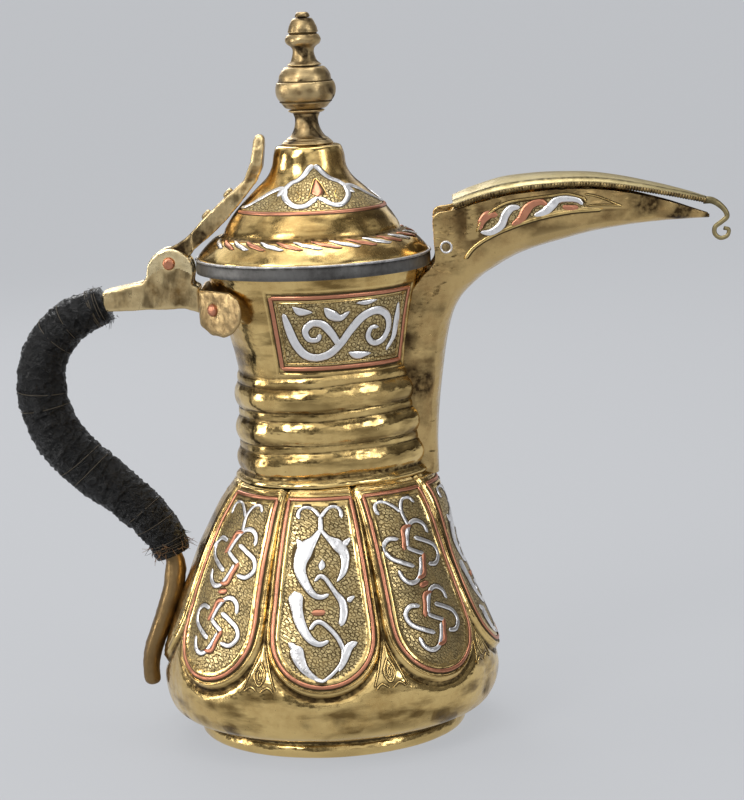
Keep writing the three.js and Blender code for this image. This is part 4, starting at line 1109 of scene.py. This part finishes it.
relief, lens = cheek_relief(spout_grid[..., 0], spout_grid[..., 2])
cheek = smoothstep(spread, 0.42, 0.6)[None, :]
spout_grid[..., 1] += np.sign(shares)[None, :] * relief * cheek
spout_points = spout_grid.reshape(-1, 3)
spout_points = roughened(spout_points, unit(spout_points * (0, 1, 0) + (0, 1e-9, 0)), 0.14, 11, 31)
spout_faces = grid_faces(len(stations), len(shares))
middles = spout_points[spout_faces].mean(axis=1)
middle_angle = np.arctan2(middles[:, 1], middles[:, 0])
middle_radius = np.hypot(middles[:, 0], middles[:, 1])
neck_here = neck_radius(middle_angle, middles[:, 2], detail=False)
hidden = (middles[:, 2] < NECK_RIM - 1.5) & (middle_radius < neck_here - 2)
in_lens = (lens * cheek).reshape(-1)[spout_faces].mean(axis=1)[~hidden] > 0.6
used, kept_faces = np.unique(spout_faces[~hidden], return_inverse=True)
shown_points = spout_points[used]
spout = mesh_object("spout", shown_points, kept_faces.reshape(-1, 4))
store_chart(spout.data, shown_points[:, 0], shown_points[:, 2])
use_second_material(spout.data, in_lens)
finish_piece(spout, "pot", [BRASS_SPOUT, GROUND], ["spout_shell"])
tip_burn = 0.75 * smoothstep(shown_points[:, 0], 112, 150) * (0.5 + 0.5 * lumps(shown_points, 6, 32))
gully = 0.34 * (1 - smoothstep(shown_points[:, 2], 150, 185)) * (0.3 + 0.7 * lumps(shown_points, 8, 33))
deepen_cavity(spout, tip_burn + gully)
thickened(spout, WALL)
spout_normals = np.zeros((len(spout_points), 3))
for corner in range(4):
    a, b, c = (spout_points[spout_faces[:, (corner + k) % 4]] for k in (0, 1, 3))
    np.add.at(spout_normals, spout_faces[:, corner], np.cross(c - a, b - a))
spout_normals = unit(spout_normals)


def on_cheek(side):
    """The spout's side plate as a surface of x and z."""
    chosen = np.flatnonzero((np.sign(spout_points[:, 1]) == side) & (np.abs(spout_normals[:, 1]) > 0.4))
    near_points, near_normals = spout_points[chosen], spout_normals[chosen]

    def surface(x, z):
        apart = (near_points[None, :, 0] - x[:, None]) ** 2 + (near_points[None, :, 2] - z[:, None]) ** 2
        best = apart.argmin(axis=1)
        start, out = near_points[best], near_normals[best]
        y = start[:, 1] - (out[:, 0] * (x - start[:, 0]) + out[:, 2] * (z - start[:, 2])) / out[:, 1]
        return np.stack([x, y, z], axis=-1)
    return surface


# Twisted strands of silver and copper in the lens, with a raised edge along the ridge.
CHEEK_COPPER = [
    [(64.6, 195.4, 1.6), (65.6, 198.6, 2.4), (68.2, 200.9, 2.8), (71.8, 200.6, 1.4)],
    [(77, 196.6, 1.2), (80.4, 198.6, 2.6), (82.4, 201.6, 3), (84.8, 204, 2.6), (88.2, 204.9, 2.2),
     (90.8, 203.6, 1.2)],
    [(96.6, 202.6, 1.4), (99.8, 201.9, 2), (102.8, 202.2, 1.4)],
]
CHEEK_SILVER = [
    [(65, 194.4, 1.2), (69, 194.2, 2.2), (72.8, 196.6, 2.6), (74.6, 200.4, 2.6), (77, 203, 2.4),
     (80.4, 203.2, 1.2)],
    [(85.6, 199.8, 1.2), (89.8, 201, 2.6), (92.6, 203.4, 2.8), (95, 205.4, 2.4), (99, 205.6, 2.2),
     (102.6, 204.8, 1.8), (104.4, 203, 1.2)],
]
CHEEK_LINES = [
    [(*p, 1.5) for p in RIDGE[:-1]],
    [(*p, 1.0) for p in LENS_TOP],
    [(105, 207.2, 0.6), (111, 205.6, 0.6), (119.6, 201.6, 0.6)],
    [(106.4, 202.6, 0.5), (112, 202.6, 0.5), (118.6, 202.1, 0.5)],
]


STRAND_WIDER = 1.4


def cheek_figure(name, strokes, side, material, height, grow=0.0, wider=1.0):
    surface = on_cheek(side)
    parts = []
    for knots in strokes:
        line = curve(knots, len(knots) * 7) * (1, 1, wider)
        centre = surface(line[:, 0], line[:, 1])
        out = np.tile((0.0, side, 0.0), (len(centre), 1))
        parts.append(ribbon(centre, out, line[:, 2] + grow, height))
    points, faces = joined(parts)
    points = roughened(points, np.array([0, side, 0]), 0.05, 1.4, 14)
    finish_piece(mesh_object(name, points, faces), "pot", [material], passes=3)


for name, side in SIDES:
    # Painted shadow: wider dark ribbons under the strands and the lines stand in for the shadow along their
    # edges.
    cheek_figure(f"cheek_strand_shadow_{name}", CHEEK_COPPER + CHEEK_SILVER, side, SHADOW_AND_DIRT, height=0.14, grow=1.1,
                 wider=STRAND_WIDER)
    cheek_figure(f"cheek_copper_{name}", CHEEK_COPPER, side, COPPER, height=0.55, wider=STRAND_WIDER)
    cheek_figure(f"cheek_silver_{name}", CHEEK_SILVER, side, SILVER, height=0.6, wider=STRAND_WIDER)
    cheek_figure(f"cheek_line_shadow_{name}", CHEEK_LINES, side, SHADOW_AND_DIRT, height=0.12, grow=0.9)
    cheek_figure(f"cheek_lines_{name}", CHEEK_LINES, side, BRASS, height=0.5)


# ---------- spout cover ----------
COVER_STATIONS = [  # x, edge z, half width, crown
    (55, 204, 13.6, 2.2), (64, 206.6, 13.2, 3.2), (76, 209.1, 12.3, 3.6), (91, 210.3, 11, 3.4),
    (107, 210.2, 9.5, 3), (121.5, 208.2, 7.9, 2.6), (136.5, 205.2, 5.8, 1.8), (146.5, 202.8, 3.6, 1.1),
    (152, 201.4, 1.9, 0.6),
]
cover_line = curve(COVER_STATIONS, 130)
over = np.linspace(-1, 1, 41)
crown = 1 - np.abs(over) ** 2.2
cover_grid = np.stack([
    np.repeat(cover_line[:, :1], len(over), axis=1),
    cover_line[:, 2:3] * over,
    cover_line[:, 1:2] + 0.7 + cover_line[:, 3:4] * crown + 0.35 * hump(np.abs(over) - 0.8, 0.06),
], axis=-1)
cover_points = cover_grid.reshape(-1, 3)
cover_points = roughened(cover_points, np.array([0, 0, 1]), 0.12, 9, 41)
cover = mesh_object("cover_sheet", cover_points, grid_faces(len(cover_line), len(over)))
finish_piece(cover, "spout_cover", [BRASS_OLIVE], ["cover_plate"])
thickened(cover, COVER_SHEET)


BEAD_PITCH = 1.1
BEAD_STEPS = 8


def bead_row(name, side, node):
    """A row of struck beads along one edge of the cover."""
    edge_line = np.column_stack([cover_line[:, 0], side * (cover_line[:, 2] + 1.1), cover_line[:, 1] + 0.6])
    length = np.linalg.norm(np.diff(edge_line, axis=0), axis=1).sum()
    count = int(length / BEAD_PITCH) * BEAD_STEPS
    path = curve(edge_line[::3], count, places=3)
    beat = np.abs(np.sin(np.arange(count) / BEAD_STEPS * math.pi))
    points, faces = swept(path, 0.66 + 0.3 * beat, 10)
    finish_piece(mesh_object(name, points, faces), "spout_cover", [BRASS_HAMMERED], [node], passes=4)


bead_row("cover_beads_front", -1, "cover_bead_front")
bead_row("cover_beads_rear", 1, "cover_bead_rear")

HOOK = [
    (151.4, 202), (154.6, 201.7), (157.4, 200), (159.6, 197.6), (160.2, 195.2), (157.9, 193.2),
    (155.6, 191.4), (155.5, 188.8), (157.6, 187.1), (160.2, 187.9), (160.8, 190.2), (158.9, 190.9),
]
hook_flat = curve(HOOK, 110)
hook_path = np.column_stack([hook_flat[:, 0], 0 * hook_flat[:, 0], hook_flat[:, 1]])
hook_radii = np.interp(np.linspace(0, 1, len(hook_path)), (0, 0.3, 1), (1.5, 1.05, 0.75))
hook_points, hook_faces = swept(hook_path, hook_radii, 16)
finish_piece(mesh_object("cover_hook_wire", hook_points, hook_faces), "spout_cover", [BRASS_OLIVE],
             ["cover_hook"], passes=3)


# ---------- pins and rivets ----------
HEAD_SEGMENTS = 48
HEAD_SEED = 51


def headed(name, centre, out, profile, body, material, replaces=(), uneven=0.12):
    """A turned head of (radius, height) rows whose axis points along `out` from `centre`."""
    points = spun(profile, HEAD_SEGMENTS).reshape(-1, 3)
    points = roughened(points, outward(points), uneven, 2.2, HEAD_SEED)
    points[:, 2] += 0.7 * uneven * lumps(points, 2.0, HEAD_SEED + 1)
    turn = Vector((0, 0, 1)).rotation_difference(Vector(out)).to_matrix()
    points = points @ np.array(turn).T + np.array(centre)
    faces = grid_faces(len(profile), HEAD_SEGMENTS, around=True)
    finish_piece(mesh_object(name, points, faces), body, [material], replaces, passes=3)


def dome(radius, height):
    return curve([
        (radius * 0.97, -0.6), (radius, 0.3), (radius * 0.86, height * 0.72), (radius * 0.5, height * 0.95),
        (0.02, height),
    ], 22)


slant = math.sqrt(0.5)
for name, side in SIDES:
    headed(f"yoke_rivet_head_{name}", (-38.0, side * 21.0, 169.4), (-slant, side * slant, 0),
           dome(2.4, 1.6), "pot", COPPER, [f"yoke_rivet_{name}"])
for name, place in (("upper", (-31.7, 0, 212.0)), ("lower", (-40.5, 0, 204.0))):
    headed(f"lever_rivet_head_{name}", place, (-0.7, 0, 0.714), dome(2.3, 1.2), "lid", BRASS_CAST,
           [f"lever_rivet_{name}"])
pin_ring = curve([(1.4, 0.5), (1.9, 1.2), (2.4, 1.1), (2.6, 0.3), (2.5, -0.5)], 24)[::-1]
pin_centre = curve([(1.7, -0.3), (1.5, 0.35), (0.9, 0.6), (0.02, 0.65)], 12)
for name, side in SIDES:
    pin_end = (HINGE_PIN[0], side * 6.5, HINGE_PIN[1])
    headed(f"hinge_pin_head_{name}", pin_end, (0, side, 0), dome(2.15, 1.0), "pot", COPPER,
           ["hinge_pin"] if side == 1 else ())
    pin_end = (COVER_PIN[0], side * (CHEEK_HALF_WIDTH + 0.1), COVER_PIN[1])
    headed(f"cover_pin_ring_{name}", pin_end, (0, side, 0), pin_ring, "pot", SILVER, uneven=0.06)
    headed(f"cover_pin_end_{name}", pin_end, (0, side, 0), pin_centre, "pot", BRASS_CAST,
           ["cover_pin"] if side == 1 else (), uneven=0.05)
for name, pin, reach, radius in (
        ("hinge_pin_bar", HINGE_PIN, 6.4, 1.6), ("cover_pin_bar", COVER_PIN, 13.2, 1.1)):
    bar_path = np.array([(pin[0], y, pin[1]) for y in np.linspace(-reach, reach, 9)])
    bar_points, bar_faces = swept(bar_path, np.full(9, radius), 20)
    finish_piece(mesh_object(name, bar_points, bar_faces), "pot", [BRASS_CAST], passes=2)


# ---------- cast handle, yoke and lever, worked over by hand ----------
SWELL_FULL = 60               # the tail is thickened fully below this height, and not above the next
SWELL_END = 74


def reworked(node, name, body, material, voxel, relax, uneven, size, seed, swell=0.0):
    """The CAD solid as hand-finished metal: eased edges, wavy faces; swell thickens its lowest part."""
    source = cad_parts[node]
    draft = new_object(name + "_draft", source.data.copy())
    remesh = draft.modifiers.new("remesh", "REMESH")
    remesh.mode = "VOXEL"
    remesh.voxel_size = voxel * MM
    evaluated = draft.evaluated_get(bpy.context.evaluated_depsgraph_get())
    mesh = bpy.data.meshes.new_from_object(evaluated)
    bpy.data.objects.remove(draft)
    mesh.materials.clear()
    mesh.name = name
    mean = neighbour_mean(mesh)
    points = coordinates(mesh)
    for _ in range(relax):
        points = mean(points)
    mesh.vertices.foreach_set("co", (points * MM).ravel())
    mesh.update()
    waves = uneven * (lumps(points, size, seed) + 0.5 * lumps(points, size / 3, seed + 1))
    low = 1 - smoothstep(points[:, 2], SWELL_FULL, SWELL_END)
    points = points + normals(mesh) * (waves + swell * low)[:, None]
    mesh.vertices.foreach_set("co", (points * MM).ravel())
    mesh.update()
    mesh.shade_smooth()
    return finish_piece(new_object(name, mesh), body, [material], [node], passes=12)


casting = reworked("handle_frame", "handle_casting", "pot", BRASS_CAST, voxel=0.5, relax=4, uneven=0.14,
                   size=5, seed=61, swell=1.2)
casting.data.materials.append(BRASS_TAIL)
casting.data.materials.append(BRASS_EAR_TOP)
TAIL_TOP = 90
EAR_FOOT = 180
# The ear's upper half, beyond an arc round the arm, takes the lighter brass.
for polygon in casting.data.polygons:
    spot = polygon.center / MM
    from_arm = math.hypot(spot.x - EAR_CENTRE[0], spot.z - EAR_CENTRE[1] + 10.5)
    if spot.z < TAIL_TOP:
        polygon.material_index = 1
    elif spot.z > EAR_FOOT and from_arm > 12.6:
        polygon.material_index = 2
reworked("handle_yoke", "handle_saddle", "pot", BRASS_LUG, voxel=0.45, relax=16, uneven=0.1, size=4, seed=63)
strap = reworked("lid_lever", "lever_strap", "lid", BRASS_CAST, voxel=0.4, relax=3, uneven=0.08, size=2.6,
                 seed=65)
# The strap is made darker towards its lower end, by the ear.
strap_points = coordinates(strap.data)
deepen_cavity(strap, 0.6 * (1 - smoothstep(strap_points[:, 2], 190, 206)) * (0.6 + 0.4 * lumps(strap_points, 4, 66)))
for node in ("cover_arm_front", "cover_arm_rear"):
    reworked(node, node + "_plate", "spout_cover", BRASS_CAST, voxel=0.35, relax=2, uneven=0.06, size=3,
             seed=67)


# ---------- the grip's wrapping ----------
GRIP_PATH = [
    (-81.6, 171), (-88.5, 168.2), (-97.5, 163.5), (-104.5, 155.5), (-108.5, 145.5), (-108.5, 134),
    (-104.5, 121.5), (-97.5, 111.5), (-88.5, 103), (-78, 94), (-69.5, 85.5), (-63.5, 77), (-60.9, 70.2),
]
GRIP_ROWS = 420
GRIP_SIDES = 96
STRIP_PITCH = 5.5


def grip_radius(share):
    fullness = np.clip(0.86 * share + 0.07, 0, 1)
    return 5.5 + 4.2 * np.sin(math.pi * fullness) ** 0.7


grip_flat = curve(GRIP_PATH, GRIP_ROWS)
grip_axis = np.column_stack([grip_flat[:, 0], 0 * grip_flat[:, 0], grip_flat[:, 1]])
grip_share = np.linspace(0, 1, GRIP_ROWS)
grip_length = np.linalg.norm(np.diff(grip_axis, axis=0), axis=1).sum()
grip_points, grip_faces = swept(grip_axis, grip_radius(grip_share), GRIP_SIDES)
body_points = grip_points[:-2].reshape(GRIP_ROWS, GRIP_SIDES, 3)
away = unit(body_points - grip_axis[:, None]).reshape(-1, 3)
turns = (np.arange(GRIP_SIDES) / GRIP_SIDES)[None, :]
phase = (grip_share[:, None] * grip_length / STRIP_PITCH + turns) % 1
flat_points = body_points.reshape(-1, 3)
overlap = 0.3 * (phase - 0.5) - 0.3 * hump(phase, 0.07) - 0.3 * hump(phase - 1, 0.07)
folds = 0.5 - np.abs(lumps(flat_points, 1.7, 74, waves=24))
wander = 0.35 * lumps(flat_points, 4, 71) + 0.3 * lumps(flat_points, 1.3, 72) + 0.55 * folds
end_fade = np.repeat(smoothstep(grip_share, 0, 0.02) * (1 - smoothstep(grip_share, 0.985, 1)), GRIP_SIDES)
flat_points = flat_points + away * ((overlap.reshape(-1) * 0.8 + wander) * end_fade)[:, None]
grip_points[:-2] = flat_points
grip = mesh_object("grip_wrapping", grip_points, grip_faces)
finish_piece(grip, "pot", [WRAP], ["handle_wrap"], passes=10)


THREAD_STEPS = 40             # points in one turn
THREAD_RADIUS = 0.13


def cross_axes(along):
    """Two directions square to `along` and to each other."""
    side = unit(np.cross(along, (0, 1, 0)))
    return side, np.cross(side, along)


def wound_thread(name, start, end, turns_count, seed):
    """A thin thread wound round the grip between two shares of its length."""
    count = int(turns_count * THREAD_STEPS)
    rng = np.random.default_rng(seed)
    share = np.linspace(start, end, count) + 0.004 * np.sin(np.linspace(0, 9, count) + rng.uniform(0, TAU))
    turn = np.linspace(0, turns_count * TAU, count)
    centre = np.column_stack([np.interp(share, grip_share, grip_axis[:, k]) for k in range(3)])
    side, rise = cross_axes(unit(np.gradient(centre, axis=0)))
    out = side * np.cos(turn)[:, None] + rise * np.sin(turn)[:, None]
    path = centre + out * (grip_radius(share) + 0.25)[:, None]
    points, faces = swept(path, np.full(count, THREAD_RADIUS), 6)
    finish_piece(mesh_object(name, points, faces), "pot", [THREAD], passes=1)


THREADS = [  # start, end, turns
    (0.015, 0.05, 5), (0.09, 0.2, 2), (0.33, 0.42, 2), (0.56, 0.68, 2.5), (0.8, 0.9, 2), (0.955, 0.985, 5),
]
for number, (start, end, turns_count) in enumerate(THREADS, 1):
    wound_thread(f"grip_thread_{number}", start, end, turns_count, 80 + number)


def frayed(name, material, share, reach, count, seed):
    """Loose fibres standing off one end of the wrapping."""
    rng = np.random.default_rng(seed)
    row = int(share * (GRIP_ROWS - 1))
    centre = grip_axis[row]
    along = unit(grip_axis[min(row + 3, GRIP_ROWS - 1)] - grip_axis[row - 3])
    side, rise = cross_axes(along)
    parts = []
    for _ in range(count):
        turn = rng.uniform(0, TAU)
        out = side * math.cos(turn) + rise * math.sin(turn)
        lean = rng.normal(size=3) * 0.6
        start = centre + out * grip_radius(share) + along * rng.uniform(-4, 1)
        length = reach * rng.uniform(0.4, 1)
        steps = np.linspace(0, 1, 7)[:, None]
        path = start + (out * 0.5 + along * 0.6 + lean * steps) * length * steps
        parts.append(swept(path, np.linspace(0.16, 0.06, 7), 5))
    points, faces = joined(parts)
    finish_piece(mesh_object(name, points, faces), "pot", [material], passes=1)


frayed("grip_fray_low", FRAY, share=0.985, reach=3.6, count=54, seed=91)
frayed("grip_fray_low_dark", WRAP, share=0.97, reach=3.2, count=40, seed=92)
frayed("grip_fray_high", WRAP, share=0.02, reach=3, count=26, seed=93)


# ---------- camera, floor and lights ----------
def aim(thing, place, target, roll=0.0):
    forward = (Vector(target) - Vector(place)).normalized()
    right = forward.cross(Vector((0, 0, 1))).normalized()
    up = right.cross(forward)
    cos, sin = math.cos(roll), math.sin(roll)
    turned_right = right * cos + up * sin
    turned_up = up * cos - right * sin
    basis = Matrix((turned_right, turned_up, -forward)).transposed()
    thing.matrix_world = Matrix.Translation(Vector(place)) @ basis.to_4x4()


CAMERA_PLACE = (0.052336, -0.998630, 0.2991)
CAMERA_TARGET = (0.02037, 0.00107, 0.1286)
CAMERA_ROLL = -2.48           # degrees
camera = new_object("camera", bpy.data.cameras.new("camera"))
camera.data.lens = 116.5
camera.data.sensor_width = 36
camera.data.clip_start = 0.02
camera.data.clip_end = 300
aim(camera, CAMERA_PLACE, CAMERA_TARGET, math.radians(CAMERA_ROLL))
bpy.context.scene.camera = camera

FLOOR_HALF = 60
corners = [(x * FLOOR_HALF, y * FLOOR_HALF, 0) for x, y in ((-1, -1), (1, -1), (1, 1), (-1, 1))]
floor_mesh = bpy.data.meshes.new("studio_floor")
floor_mesh.from_pydata(corners, [], [(0, 1, 2, 3)])
floor = new_object("studio_floor", floor_mesh)
floor_paint, _, floor_shader, _ = new_material("floor_paint")
floor_shader.inputs["Base Color"].default_value = (0.09, 0.091, 0.094, 1)
floor_shader.inputs["Emission Color"].default_value = (0.93, 0.955, 1, 1)
floor_shader.inputs["Emission Strength"].default_value = 0.47
floor_shader.inputs["Roughness"].default_value = 0.9
floor_shader.inputs["Specular IOR Level"].default_value = 0.1
floor_mesh.materials.append(floor_paint)


def area_light(name, place, target, size, energy, colour=(1, 1, 1)):
    lamp = bpy.data.lights.new(name, "AREA")
    lamp.shape = "RECTANGLE"
    lamp.size, lamp.size_y = size
    lamp.energy = energy
    lamp.color = colour
    aim(new_object(name, lamp), place, target)


area_light("key", (-0.75, -0.95, 0.95), (0, 0, 0.13), (0.5, 0.8), 8, (1, 0.985, 0.96))
area_light("strip", (-1.25, -0.12, 0.25), (0, 0, 0.15), (0.22, 0.9), 6, (1, 0.98, 0.95))
area_light("fill", (0.95, -0.75, 0.6), (0, 0, 0.13), (0.25, 0.7), 2.6, (0.97, 0.985, 1))
area_light("top", (0.05, 0.15, 1.25), (0, 0, 0.1), (0.6, 0.6), 4.5)
area_light("rear", (-0.4, 1.1, 0.8), (0, 0, 0.15), (0.5, 0.6), 5)

world = bpy.data.worlds.new("studio")
bpy.context.scene.world = world
world.use_nodes = True
sky = world.node_tree
background = sky.nodes["Background"]
direction = add_node(sky, "ShaderNodeTexCoord").outputs["Generated"]
parted = add_node(sky, "ShaderNodeSeparateXYZ", {0: direction})
room = add_node(sky, "ShaderNodeTexNoise", {"Vector": direction, "Scale": 2.3, "Detail": 1.5}).outputs["Fac"]
panes = ranged(sky, room, 0.45, 0.56, 0.04, 1.0)
sideways = add_node(sky, "ShaderNodeMath", {0: parted.outputs["X"]}, operation="ABSOLUTE").outputs[0]
panes = times(sky, panes, ranged(sky, sideways, 0.62, 0.9, 1.0, 0.12))
ceiling = ranged(sky, parted.outputs["Z"], -0.1, 0.9, 0.35, 1.0)
glow = times(sky, panes, ceiling)
sky.links.new(mixed(sky, glow, (0.03, 0.025, 0.02), (0.95, 0.97, 1.0)), background.inputs["Color"])
background.inputs["Strength"].default_value = 1.6
bpy.context.scene.view_settings.view_transform = "Standard"
